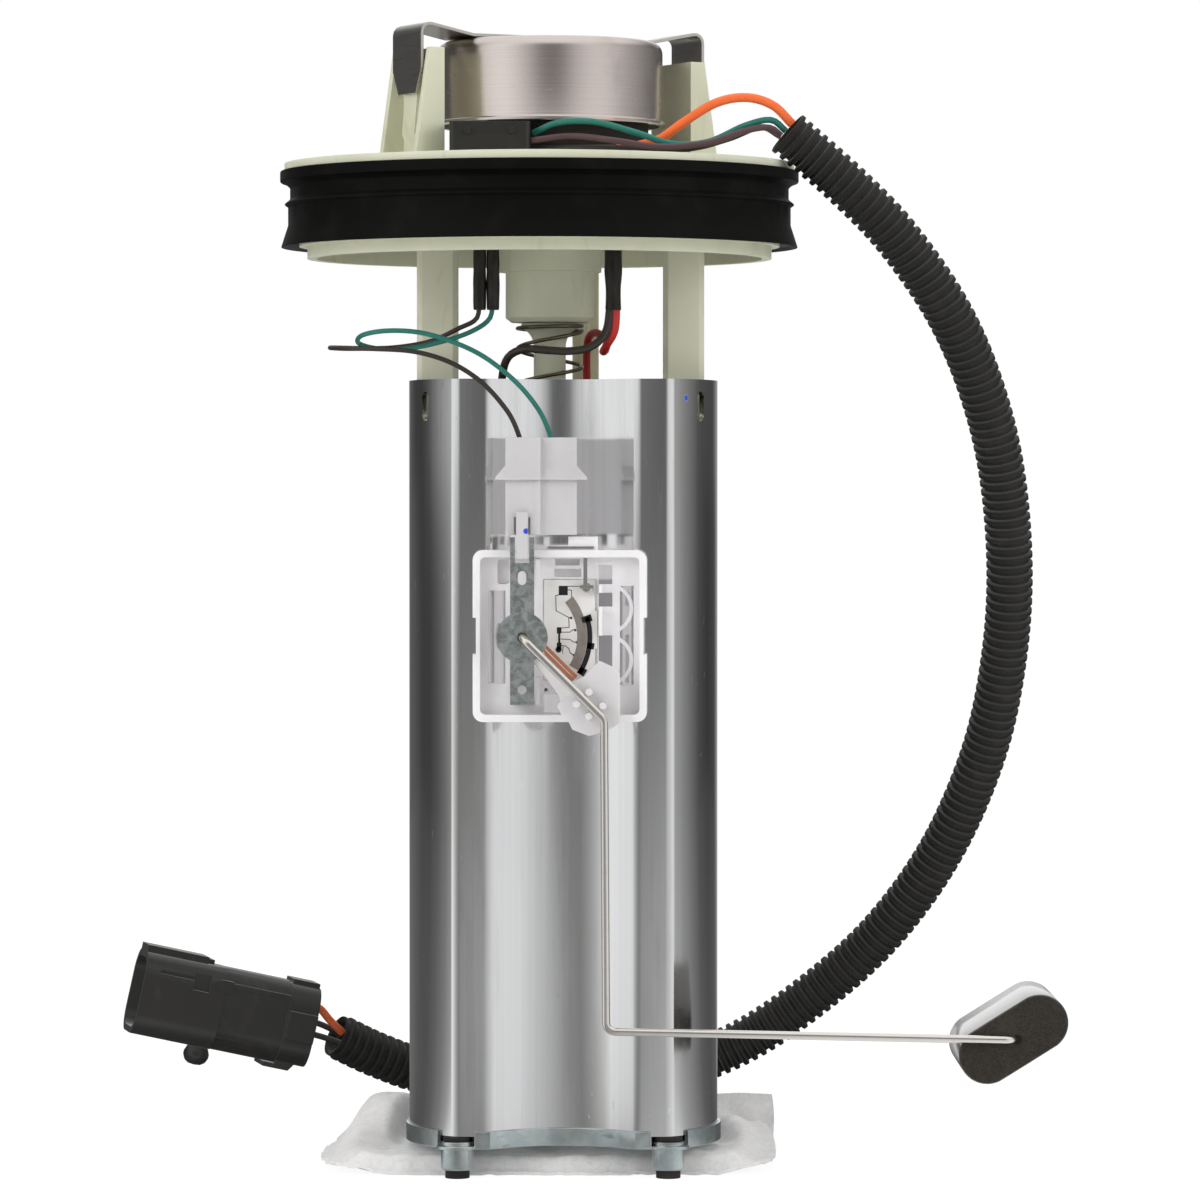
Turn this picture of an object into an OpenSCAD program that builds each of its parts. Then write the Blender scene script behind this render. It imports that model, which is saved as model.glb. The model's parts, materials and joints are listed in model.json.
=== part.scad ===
// Fuel pump module for a tank: a tube with the pump inside, under a flange that slides on it.
// Millimetres. The tube's axis is Z, the floor is z = 0 and the flat front looks along -Y.

/* [Housing tube] */
// Outer radius of the aluminium tube
tube_r = 38.75; // [34:0.25:47]
// Wall of the tube
tube_wall = 1.2; // [0.8:0.1:2]
// Height of the tube's top edge
tube_top = 197.7; // [180:0.1:240]
// Distance of the flat front from the axis, as a share of the radius
flat_share = 0.728; // [0.7:0.002:0.8]
// Radius of the concave front channel's floor
channel_r = 19.5; // [15:0.1:20]
// Depth of the channel behind the flat front
channel_deep = 9; // [6:0.5:11]
// Slope of the channel's straight side walls
channel_slope = 38; // [30:1:50]

/* [Base] */
// Height of the bumpers' feet under the pan
pan_z = 7.3; // [6:0.1:12]
// Sheet of the base pan
pan_t = 0.8; // [0.6:0.1:1.2]
// Height of the pan's upturned rim
rim_h = 4.4; // [3:0.1:8]
// Distance of the feet inside the tube's outer radius
foot_inset = 1.85; // [1:0.05:4]
// Outer diameter of a ferrule
ferrule_d = 8; // [7:0.1:9]
// Diameter of a bumper's tip
bumper_d = 6.1; // [5:0.1:6.5]

/* [Pump] */
// Outer radius of the pump's case
pump_r = 19; // [16:0.1:20]
// Length of the pump's case
pump_len = 92; // [80:1:100]
// Wall of the pump's case
case_wall = 1; // [0.8:0.1:1.6]
// Diameter of the pump's shaft
shaft_d = 3; // [2.5:0.1:4]

/* [Flange] */
// Radius of the flange's rim
flange_r = 64; // [60:0.5:78]
// Gap from the tube's top edge up to the flange's top
flange_gap = 54.3; // [50:0.1:70]
// Height of the skirt under the flange's top
skirt_h = 23.7; // [20:0.1:30]
// Wall of the skirt
skirt_wall = 2.4; // [2:0.1:3.5]
// Travel of the flange towards the tube
stroke = 18; // [10:1:20]
// Diameter of the supply stem
stem_d = 8.1; // [7:0.1:9]
// Diameter of the cup under the flange
cup_d = 22.3; // [20:0.1:26]

/* [Can and strap] */
// Radius of the can
can_r = 28.5; // [24:0.5:31]
// Height of the can
can_h = 21.2; // [16:0.1:30]
// Width of the retaining strap
strap_w = 16; // [10:0.5:20]
// Distance of the strap's legs from the can's axis
strap_reach = 39.4; // [39:0.1:46]
// Sheet of the strap
strap_t = 0.8; // [0.5:0.1:1.2]

/* [Sender] */
// Width of the sender's frame
sender_w = 42.8; // [36:0.1:52]
// Height of the sender's frame
sender_h = 42.3; // [42:0.1:51]
// Wire diameter of the float rod
rod_d = 2; // [1.6:0.1:2.6]
// Depth of the float from front to back
float_deep = 43; // [30:1:52]
// Length of the float's section
float_long = 29.2; // [22:0.1:35]
// Thickness of the float's section
float_thick = 14; // [10:0.1:17]

/* [Harness] */
// Outer diameter of the corrugated conduit
conduit_d = 11.8; // [9:0.1:12]
// Diameter of the sender's leads
lead_d = 1.4; // [1:0.1:1.6]
// Diameter of the pump's leads
feed_d = 2; // [1.6:0.1:2.2]
// Diameter of the harness's thin wires
harness_d = 1.6; // [1.2:0.1:2]
// Diameter of the harness's thick wire
battery_d = 2; // [1.6:0.1:2.3]
// Length of the connector's body
plug_len = 46; // [44:1:56]
// Height of the connector's hood
hood_h = 23; // [21:0.5:28]

/* [Fits] */
// Radial clearance of a sliding or turning fit
fit = 0.06; // [0.04:0.01:0.1]
// Gap between pieces that are pressed together
seat = 0.05; // [0.02:0.01:0.1]
// Gap round moulded pieces inside the tube
loose = 0.3; // [0.2:0.05:0.5]

/* [Hidden] */
$fn = 96;

// Section of the tube
flat_y = tube_r * flat_share;
channel_y = flat_y - channel_deep + channel_r;
tube_z = pan_z + pan_t;
tube_inner = tube_r - tube_wall;
hole_turn = 28;
hole_z = tube_top - 6.7;

// Feet
foot_c = (tube_r - foot_inset) / sqrt(2);
foot_tip = 2;
foot_head = pan_z + 1.8;
lobe_x = tube_r + 6.25;
ferrule_edge = 0.4;
shank_r = bumper_d / 2 - 0.5;

// Core axis, shared by the pump, the stem, the spring, the cup and the can
core_x = -3.5;
core_y = 8;

// Pump, from its case's lower end up
case_z = 20;
case_top = case_z + pump_len;
case_in = pump_r - case_wall;
impeller_z = case_z + 10;
armature_z = case_z + 22;
armature_h = pump_len - 48;
armature_r = case_in - 4.6;
magnet_r = armature_r + 0.8;
commutator_r = 6;
commutator_z = armature_z + armature_h + 4;
cap_z = case_top - 8;
nipple_d = 8;
terminal_x = 10.5;

// Upper holder, coupling and spring
isolator_r = pump_r + seat + 1.9;
plate_z = case_top + 2.1;
plate_t = 3;
spring_z = plate_z + plate_t;
nipple_top = case_top + 27;
stem_end = nipple_top + stroke + 1.5;
coupling_top = stem_end + 11.5;
coupling_r = stem_d / 2 + 2.25;
coupling_head_r = stem_d / 2 + 3.15;
oring_t = 1.4;
wire_d = 1.1;
spring_r = 8.15;
spring_turns = 12;

// Flange
flange_top = tube_top + flange_gap;
head_x = -6;
skirt_r = flange_r - 5.7;
neck_r = flange_r - 3.7;
deck_t = 3;
rim_t = 1.9;
pad_r = flange_r - 13;
pad_h = 0.9;
deck_top = flange_top + pad_h;
skirt_z = flange_top - skirt_h;
cup_z = flange_top - 39.4;
cup_r = cup_d / 2;
can_z = flange_top + 10;
can_t = 0.9;
strap_turn = 28;
tower_top = can_z + 18.6;
outlet_h = 15;
elbow = [9, 40.6];
rear_leg = [5.5, 33];

// Guide legs: two at the sides and one at the rear
leg_w = 10.3;
leg_deep = 8;
leg_x = tube_inner - 1.5 - leg_w / 2;
leg_shift = -0.7;
barb_h = 5;
stop_z = hole_z - 5.6;
leg_bottom = stop_z - loose - barb_h;
leg_top = flange_top - deck_t;
rear_leg_w = 6.8;

// Sender, whose frame lies on the flat front
sender_x = -0.7;
sender_z = 134.3;
frame_t = 2.6;
frame_y = flat_y + frame_t;
rim_y = frame_y + 3.6;
pivot_x = -9.9;
pivot_z = 134;
strap_y = rim_y + 3.4;
rod_y = strap_y + 2.6;
hub_r = 3.2;
frame_rim = 1.8;
frame_head = sender_z + sender_h / 2;
bridge_x = 2;
bridge_w = 13.4;
rib_x = 14.2;
card_at = [1.95, 135.8];
card_size = [13.2, 24.7];
arm_w = 5.9;
plug_x = -14;
plug_w = 17.5;
plug_z = frame_head + 3.75;
plug_h = 23.9;
plug_front = rim_y + 3;
skirt_foot = plug_z + 13.5;
float_x = 110.7;
float_z = 35.4;
float_turn = 32;
float_y = rod_y - 1.6;

// Corners of the float rod, and the pegs that hold it on the lever
KNEE = [10.2, 114];
ROD = [[pivot_x, -rim_y + 1, pivot_z], [pivot_x, -rod_y, pivot_z], [KNEE.x, -rod_y, KNEE.y],
  [10.7, -rod_y, 37.5], [float_x, -rod_y, float_z], [float_x, -float_y + 14, float_z]];
rod_fall = atan2(pivot_z - KNEE.y, KNEE.x - pivot_x);
peg_r = 0.9;
PEGS = [[21, 2.1], [25.8, 2.1], [21, -2.1], [25.2, -2.1]];

// Terminal block, grommets and sleeves
block_at = [-18, -22];
block_size = [20, 10, 8.4];
sleeve_top = leg_top - 4;
sleeve_end = sleeve_top - 30;
sleeve_black = [-20.7, -17];
sleeve_green = [-17.4, -17];
sleeve_pump = [12.5, -14];

// Connector, which lies on the axis of the conduit's end
conn_at = [-65.6, 35, 33.1];
conn_turn = 12.6;
conn_yaw = 12;
hood_len = 20;
barrel_h = hood_h - 1.7;
barrel_drop = 0.85;
barrel_top = barrel_h / 2 - barrel_drop;
barrel_foot = -barrel_h / 2 - barrel_drop;
hood_top = hood_h / 2;
rail_w = 12;
ledge_z = barrel_top - 4.6;
pin_d = 1.6;
collar_len = 8;
hood_wall = 1.6;

// Routes of the wires and of the conduit, chosen by hand
CONDUIT = [[55.5, -22, 258.7], [71, -20, 245.2], [83, -17, 233], [95.4, -12, 215.8],
  [104, -5, 197.9], [110, 2, 177], [112.8, 9, 152], [112, 17, 128], [107.5, 26, 103.5],
  [97.5, 35, 78.5], [83, 42, 57], [65.5, 47, 40.3], [45.5, 49, 26.7], [25, 49.5, 19.2],
  [4, 49.5, 15.6], [-16, 49, 15.9], [-35, 46, 19.2], [-48, 41.5, 24.1], [-58.5, 37, 29.5]];
SENDER_BLACK = [[-20.7, -17, 214.4], [-21.7, -17, 212.5], [-26, -16.5, 210.4], [-33, -14, 207.3],
  [-42, -12.5, 205.8], [-50, -12.5, 205.6], [-56, -17, 205.6], [-57.5, -24, 205.4],
  [-53.5, -32, 205], [-46, -37, 204.8], [-36, -39.5, 204], [-27, -40, 201.2],
  [-19.5, -39.5, 196.3], [-13.5, -38, 189.5], [-10.9, -36.2, 184.2]];
SENDER_GREEN = [[-17.4, -17, 214.4], [-18.5, -17, 212.3], [-23, -18, 209.5], [-30, -21.5, 207],
  [-38, -25.5, 205.2], [-45, -29.5, 205], [-50, -34.5, 206.2], [-49, -40.5, 208],
  [-43, -44, 209], [-35, -45, 208.6], [-27, -45, 206.4], [-19, -44.5, 202.6],
  [-11.2, -43, 196.4], [-5.8, -40, 189.8], [-3.2, -36.2, 184.2]];
PUMP_BLACK = [[11.6, -14, 214.8], [10.6, -14.3, 209.6], [7.2, -15.8, 206], [2, -17, 204.8],
  [-4, -17, 205], [-9.5, -16, 205.3], [-13.6, -14, 203.4], [-15.2, -11, 198.5],
  [-15.5, -7, 190], [-15.3, 0, 165], [-14, 8, 125.2]];
PUMP_RED = [[13.6, -14, 214.8], [13, -13.5, 210], [11, -12, 206.6], [10, -7, 205],
  [10.6, 0, 205.6], [10.8, 8, 208], [8.6, 15, 210.2], [6.5, 20.5, 209.4], [5.8, 24, 204.5],
  [6, 24, 190], [6.5, 18, 160], [7, 8, 125.2]];
WIRE_ORANGE = [[12.5, -14, 254.4], [13.6, -17, 255.4], [18, -22, 256], [25, -24.3, 258.4],
  [31, -24, 262], [38, -23.5, 266], [45.5, -23, 267.3],
  [52, -22.5, 265.4], [56.8, -22, 260.8]];
WIRE_GREEN = [[-7.3, -22, 258.6], [-1, -24.5, 261], [8, -27, 261], [18, -28.5, 258.3],
  [27, -28, 255.6], [36, -26.5, 256.2], [45, -24, 260.3], [51.5, -22.5, 261.8],
  [55.2, -22, 259.1]];
WIRE_BROWN = [[-7.7, -24.5, 256.6], [2, -26, 257.6], [13, -30.5, 256.2], [24, -31.5, 254.6],
  [36, -29, 255.8], [45, -26, 258.9], [51, -24, 259.8], [54, -23.6, 257.8]];
WIRE_BLACK = [[-7.7, -20.2, 254.8], [4, -24.5, 254.8], [17, -27, 254.6], [31, -25, 254.6],
  [41, -22, 257.2], [49, -20.4, 260.2], [54, -20.4, 257.8]];
function in_connector(p) = let (u = p.x * cos(conn_turn) + p.z * sin(conn_turn))
  conn_at + [u * cos(conn_yaw) - p.y * sin(conn_yaw), u * sin(conn_yaw) + p.y * cos(conn_yaw),
    p.z * cos(conn_turn) - p.x * sin(conn_turn)];
function tail(start, y, z) = concat(start, [in_connector([1.6, y, z]), in_connector([seat, y, z])]);
TAIL_ORANGE = tail([[-58.5, 36, 31.5], [-60.4, 35.2, 33.8]], -1, 4.2);
TAIL_BLACK_A = tail([[-59, 38.4, 30.6], [-61.6, 37.6, 32]], 2, 0.4);
TAIL_BLACK_B = tail([[-59, 35.6, 28.4], [-61.9, 34.9, 29.4]], -1, -2.6);

// The flange's size and place when the routes were drawn, and the heights between which they stretch
DRAWN = [64, 252, 38.75];
LEADS = [184, 202];
FEEDS = [125.2, 214];
OVER_FLANGE = [240, 241];
HARNESS = [30, 240];
wires_y = 22;

// Small helpers for points
function share(v, a, b) = min(1, max(0, (v - a) / (b - a)));
function rim_reach(r) = sqrt(r * r - wires_y * wires_y);
function raised(p, zone) = [for (q = p) let (up = share(q.z, zone[0], zone[1]))
  [q.x + (rim_reach(flange_r) - rim_reach(DRAWN[0])) * up * share(q.x, 30, 55), q.y,
    q.z + (flange_top - DRAWN[1]) * up]];
function behind(p) = [for (q = p)
  [q.x, q.y + (tube_r - DRAWN[2]) * share(q.y, 20, 45) * share(q.x, -58, -30), q.z]];
function unit(v) = v / norm(v);
function along(p, i) = unit(p[min(i + 1, len(p) - 1)] - p[max(i - 1, 0)]);
function side(t) = abs(t.z) > 0.8 ? [1, 0, 0] : [0, 0, 1];
function carry(p, i) = i == 0 ? unit(cross(along(p, 0), side(along(p, 0)))) :
  let (n = carry(p, i - 1), t = along(p, i)) unit(n - (n * t) * t);
function ring_at(c, n, b, r, sides) =
  [for (k = [0:sides - 1]) c + r * (cos(360 * k / sides) * n + sin(360 * k / sides) * b)];

// The arc that rounds corner b of the route a, b, c
function bend(a, b, c, r, steps) =
  let (u = unit(a - b), v = unit(c - b), half = acos(u * v) / 2,
    m = b + unit(u + v) * r / sin(half), from = b + u * r / tan(half) - m,
    to = b + v * r / tan(half) - m, turn = 180 - 2 * half)
  [for (k = [0:steps]) m + (sin((1 - k / steps) * turn) * from
    + sin(k / steps * turn) * to) / sin(turn)];
function rounded(p, r, steps) = concat([p[0]],
  [for (i = [1:len(p) - 2]) each bend(p[i - 1], p[i], p[i + 1], r, steps)], [p[len(p) - 1]]);

// A closed tube of even thickness along a route of points
module swept(p, d, sides) {
  rings = [for (i = [0:len(p) - 1]) let (n = carry(p, i))
    each ring_at(p[i], n, cross(along(p, i), n), d / 2, sides)];
  last = len(p) - 1;
  walls = [for (i = [0:last - 1], k = [0:sides - 1]) let (a = i * sides + k,
    b = i * sides + (k + 1) % sides) each [[a, a + sides, b], [b, a + sides, b + sides]]];
  polyhedron(rings, concat([[for (k = [0:sides - 1]) k]], walls,
    [[for (k = [sides - 1:-1:0]) last * sides + k]]), convexity = 8);
}

module at_core(z = 0) { translate([core_x, core_y, z]) children(); }

module ring(ro, ri, z0, z1) {
  translate([0, 0, z0]) difference() {
    cylinder(r = ro, h = z1 - z0);
    translate([0, 0, -1]) cylinder(r = ri, h = z1 - z0 + 2);
  }
}

module at_feet() {
  for (sx = [-1, 1], sy = [-1, 1]) translate([sx * foot_c, sy * foot_c, 0]) children();
}

// The tube's outline, moved inwards by inset
module tube_section(inset) {
  difference() {
    circle(r = tube_r - inset);
    translate([-2 * tube_r, -flat_y + inset - 2 * tube_r]) square([4 * tube_r, 2 * tube_r]);
    translate([0, -channel_y]) {
      circle(r = channel_r + inset);
      polygon([for (q = [[-1, 2 * tube_r], [-1, 0], [1, 0], [1, 2 * tube_r]])
        [q.x * ((channel_r + inset) * sin(channel_slope) + q.y * cos(channel_slope)),
          (channel_r + inset) * cos(channel_slope) - q.y * sin(channel_slope)]]);
    }
  }
}

module rounded_square(w, h, r) {
  square([w - 2 * r, h], center = true);
  square([w, h - 2 * r], center = true);
  for (sx = [-1, 1], sy = [-1, 1]) translate([sx * (w / 2 - r), sy * (h / 2 - r)]) circle(r = r);
}

// Draws a shape given in the XZ plane as a plate from y = -front to y = -back
module front_plate(front, back) {
  translate([0, -back, 0]) rotate([90, 0, 0]) linear_extrude(front - back) children();
}

module slot_cut(w, h) {
  for (s = [-1, 1]) translate([0, s * (h - w) / 2]) circle(d = w);
  square([w, h - w], center = true);
}

// Housing tube: the extrusion, its two lanced holes and the four notches over the feet
module housing_tube() {
  color("silver") {
    difference() {
      translate([0, 0, tube_z]) linear_extrude(tube_top - tube_z) difference() {
        tube_section(0);
        tube_section(tube_wall);
      }
      for (turn = [-hole_turn, 180 + hole_turn]) rotate([0, 0, turn])
        translate([tube_inner - 1, 0, hole_z]) rotate([90, 0, 90]) linear_extrude(4)
          slot_cut(3.6, 7.4);
      at_feet() translate([0, 0, tube_z - 1]) cylinder(d = ferrule_d + 1.4, h = 3.3);
    }
    for (turn = [-hole_turn, 180 + hole_turn]) rotate([0, 0, turn])
      translate([tube_inner - 1.6, -1.3, stop_z]) cube([1.8, 2.6, 2.2]);
  }
}

// Base pan: a stamping with an upturned rim, ears for the ferrules and drain holes
module base_pan() {
  color("lightsteelblue") difference() {
    union() {
      translate([0, 0, pan_z]) linear_extrude(pan_t) tube_section(-seat - pan_t);
      translate([0, 0, pan_z]) linear_extrude(rim_h) difference() {
        tube_section(-seat - pan_t);
        tube_section(-seat);
      }
      at_feet() translate([0, 0, pan_z]) cylinder(d = ferrule_d + 2.4, h = pan_t);
    }
    at_feet() translate([0, 0, pan_z + pan_t]) cylinder(d = ferrule_d + 2.4, h = rim_h);
    at_feet() translate([0, 0, pan_z - 1]) cylinder(r = ferrule_d / 2 + seat, h = 4);
    at_core(pan_z - 1) cylinder(r = 5.6, h = 4);
    for (turn = [60:60:300]) rotate([0, 0, turn + 30]) translate([27, 0, pan_z - 1])
      cylinder(d = 5, h = 4);
  }
}

module foot_ferrules() {
  color("lightsteelblue") at_feet() difference() {
    translate([0, 0, foot_tip]) {
      cylinder(r1 = ferrule_d / 2 - ferrule_edge, r2 = ferrule_d / 2, h = ferrule_edge);
      translate([0, 0, ferrule_edge]) cylinder(d = ferrule_d, h = foot_head - foot_tip - ferrule_edge);
    }
    cylinder(r = shank_r + seat, h = foot_head + 1);
  }
}

module foot_bumpers() {
  color("dimgray") at_feet() {
    cylinder(d = bumper_d, h = foot_tip - seat);
    cylinder(r = shank_r, h = foot_head + 0.5);
    translate([0, 0, foot_head + seat]) cylinder(d = ferrule_d - 0.9, h = 1.1);
  }
}

// Strainer sock: a flat felt bag on the floor, with raised ends
module strainer_sock() {
  color("whitesmoke") difference() {
    union() {
      hull() {
        translate([-lobe_x - 3, -16, 0]) cylinder(r = 7, h = 1.2, $fn = 32);
        translate([lobe_x - 1, -15, 0]) cylinder(r = 8, h = 1.2, $fn = 32);
        translate([-lobe_x - 3, 26, 0]) cylinder(r = 8, h = 1.2, $fn = 32);
        translate([lobe_x - 3, 26, 0]) cylinder(r = 8, h = 1.2, $fn = 32);
        at_core() cylinder(r = 16, h = 5, $fn = 32);
      }
      hull() {
        translate([-lobe_x, -10, 0]) cylinder(r = 2, h = 1.5, $fn = 24);
        translate([-lobe_x, 26, 0]) cylinder(r = 2, h = 1.5, $fn = 24);
        translate([-lobe_x - 11, -2, 4]) cylinder(r = 2, h = 2, $fn = 24);
        translate([-lobe_x - 11, 22, 11]) cylinder(r = 4, h = 2, $fn = 24);
      }
      hull() {
        translate([lobe_x - 1, -6, 0]) cylinder(r = 2, h = 1.5, $fn = 24);
        translate([lobe_x - 2, 26, 0]) cylinder(r = 2, h = 1.5, $fn = 24);
        translate([lobe_x + 7, 2, 3]) cylinder(r = 3, h = 2, $fn = 24);
        translate([lobe_x + 6, 24, 9]) cylinder(r = 4, h = 2, $fn = 24);
      }
    }
    at_feet() translate([0, 0, -1]) cylinder(d = ferrule_d + 1.6, h = 12);
    at_core(-1) cylinder(r = 6, h = 12);
  }
}

module strainer_neck() {
  color("ivory") at_core() {
    ring(14, 3.6, 5.2, 6.6);
    ring(5, 3.6, 0.6, case_z - 1);
    ring(7.6, 4, pan_z - 0.8, pan_z - 0.2);
  }
}

// Lower holder: a plate across the tube with a ring wall for the isolator
module lower_holder() {
  color("gainsboro") difference() {
    union() {
      translate([0, 0, tube_z]) linear_extrude(3) tube_section(tube_wall + loose);
      intersection() {
        at_core(tube_z) cylinder(r = isolator_r + 2.1, h = 16);
        translate([0, 0, tube_z]) linear_extrude(20) tube_section(tube_wall + loose);
      }
    }
    at_core(tube_z + 3) cylinder(r = isolator_r + seat, h = 20);
    at_core(tube_z - 1) cylinder(r = 12, h = 6);
    at_feet() translate([0, 0, tube_z - 1]) cylinder(d = ferrule_d + 1.4, h = 6);
  }
}

module lower_isolator() {
  color("black") at_core() {
    ring(isolator_r, pump_r + seat, case_z, case_z + 12);
    ring(isolator_r, 12, tube_z + 3, case_z);
  }
}

module pump_case() {
  color("lightgray") at_core() {
    ring(pump_r, case_in, case_z, case_top);
    ring(case_in + 0.2, case_in - 1.4, case_z, case_z + 0.8);
    ring(case_in + 0.2, case_in - 1.4, case_top - 0.8, case_top);
  }
}

module pump_inlet_cap() {
  color("gray") at_core() difference() {
    union() {
      translate([0, 0, case_z + 0.8]) cylinder(r = case_in - seat, h = 8);
      translate([0, 0, tube_z + 4]) cylinder(r = 8, h = case_z - tube_z - 3);
    }
    translate([0, 0, tube_z + 3]) cylinder(r = 5 + seat, h = case_z - tube_z - 3);
    translate([0, 0, case_z - 2]) cylinder(r = 2.4, h = 4.8);
    translate([0, 0, case_z + 2.8]) cylinder(r = shaft_d / 2 + fit, h = 10);
    translate([9, 0, case_z - 1]) cylinder(r = 2, h = 12);
  }
}

module pump_outlet_cap() {
  color("gray") at_core() difference() {
    union() {
      translate([0, 0, cap_z]) cylinder(r = case_in - seat, h = case_top - cap_z - 0.8);
      translate([0, 0, case_top - 1]) cylinder(r = 11.5, h = 2.6);
      translate([0, 0, case_top]) cylinder(d = nipple_d, h = nipple_top - case_top);
      translate([0, 0, case_top + 21]) cylinder(d1 = nipple_d + 0.05, d2 = nipple_d, h = 1);
      for (s = [-1, 1]) translate([s * 11.5 - 2.5, -4, commutator_z]) cube([5, 8, cap_z
        - commutator_z + 1]);
    }
    translate([0, 0, cap_z - 1]) cylinder(r = shaft_d / 2 + fit, h = 5);
    translate([0, 0, case_top - 1.5]) cylinder(r = 2.6, h = 40);
    translate([0, 0, case_top - 0.5]) rotate([-90, 0, 0]) cylinder(r = 1.2, h = 9);
    translate([0, 9, cap_z - 1]) cylinder(r = 1.6, h = case_top - cap_z + 0.6);
    for (s = [-1, 1]) {
      translate([s * 10.5 - 4.05, -2.55, commutator_z + 1]) cube([8.1, 5.1, 4.1]);
      translate([s * terminal_x - 0.45, -1.55, cap_z + 2]) cube([0.9, 3.1, 30]);
    }
  }
}

module pump_magnets() {
  color("dimgray") at_core() difference() {
    ring(case_in - seat, magnet_r, armature_z - 3, armature_z + armature_h + 3);
    translate([-3, -30, armature_z - 4]) cube([6, 60, armature_h + 8]);
  }
}

module pump_brushes() {
  color("black") at_core() for (s = [-1, 1])
    translate([s * 10.5 - 4, -2.5, commutator_z + 1.05]) cube([8, 5, 4]);
}

module pump_terminals() {
  color("goldenrod") at_core() for (s = [-1, 1])
    translate([s * terminal_x - 0.4, -1.5, cap_z + 2.1]) cube([0.8, 3, 125 - cap_z - 2.1]);
}

// Armature: slotted core, end windings, commutator and shaft
module pump_armature() {
  color("peru") at_core() {
    difference() {
      translate([0, 0, armature_z]) cylinder(r = armature_r, h = armature_h);
      for (k = [0:11]) rotate([0, 0, 30 * k]) translate([armature_r - 3, -0.7, armature_z - 1])
        cube([4, 1.4, armature_h + 2]);
    }
    translate([0, 0, armature_z - 4]) cylinder(r1 = 8, r2 = 11.5, h = 4);
    translate([0, 0, armature_z + armature_h]) cylinder(r1 = 11.5, r2 = 8, h = 3.4);
    difference() {
      translate([0, 0, commutator_z - 1]) cylinder(r = commutator_r, h = 8);
      for (k = [0:7]) rotate([0, 0, 45 * k]) translate([commutator_r - 1, -0.3, commutator_z - 2])
        cube([2, 0.6, 10]);
    }
    translate([0, 0, case_z + 3]) cylinder(d = shaft_d, h = cap_z + 3.5 - case_z - 3);
  }
}

module pump_impeller() {
  color("black") at_core(impeller_z) difference() {
    cylinder(r = case_in - 1.5, h = 3.4);
    translate([0, 0, -1]) cylinder(r = shaft_d / 2 + seat, h = 6);
    for (k = [0:23]) rotate([0, 0, 15 * k]) translate([case_in - 4, -0.8, -1]) cube([5, 1.6, 6]);
  }
}

module upper_isolator() {
  color("black") at_core() {
    ring(isolator_r, pump_r + seat, case_top - 14, case_top + 0.1);
    ring(isolator_r, 12.2, case_top + 0.1, plate_z);
  }
}

// Upper holder: plate across the tube, collar for the isolator and seat of the spring
module upper_holder() {
  color("gainsboro") difference() {
    union() {
      translate([0, 0, plate_z]) linear_extrude(plate_t) tube_section(tube_wall + loose);
      intersection() {
        at_core(case_top - 12) cylinder(r = isolator_r + 2.1, h = plate_z - case_top + 12);
        translate([0, 0, case_top - 12]) linear_extrude(20) tube_section(tube_wall + loose);
      }
      at_core(plate_z) cylinder(r = spring_r - wire_d / 2 - 0.3, h = plate_t + 3);
    }
    at_core(case_top - 13) cylinder(r = isolator_r + seat, h = plate_z - case_top + 13);
    at_core(plate_z - 1) cylinder(r = coupling_r + seat, h = 20);
    at_core() for (s = [-1, 1]) translate([s * terminal_x - 0.9, -2, plate_z - 1])
      cube([1.8, 4, plate_t + 2]);
    for (turn = [-60, 60, 120, 240]) rotate([0, 0, turn + 30]) translate([29.5, 0, plate_z - 1])
      cylinder(d = 7, h = 6);
  }
}

module slip_coupling() {
  color("black") at_core() difference() {
    union() {
      translate([0, 0, plate_z + 0.2]) cylinder(r = coupling_r, h = coupling_top - plate_z - 0.2);
      translate([0, 0, coupling_top - 10]) cylinder(r = coupling_head_r, h = 10);
    }
    translate([0, 0, plate_z - 1]) cylinder(r = nipple_d / 2 + seat, h = nipple_top - plate_z + 1.5);
    translate([0, 0, nipple_top]) cylinder(r = stem_d / 2 + fit, h = 60);
    translate([0, 0, coupling_top - 6.2]) cylinder(r = stem_d / 2 + fit + oring_t, h = oring_t + 0.2);
  }
}

module coupling_oring() {
  color("black") at_core(coupling_top - 5.4) rotate_extrude()
    translate([stem_d / 2 + fit + oring_t / 2, 0]) circle(d = oring_t - 0.02, $fn = 32);
}

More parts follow.
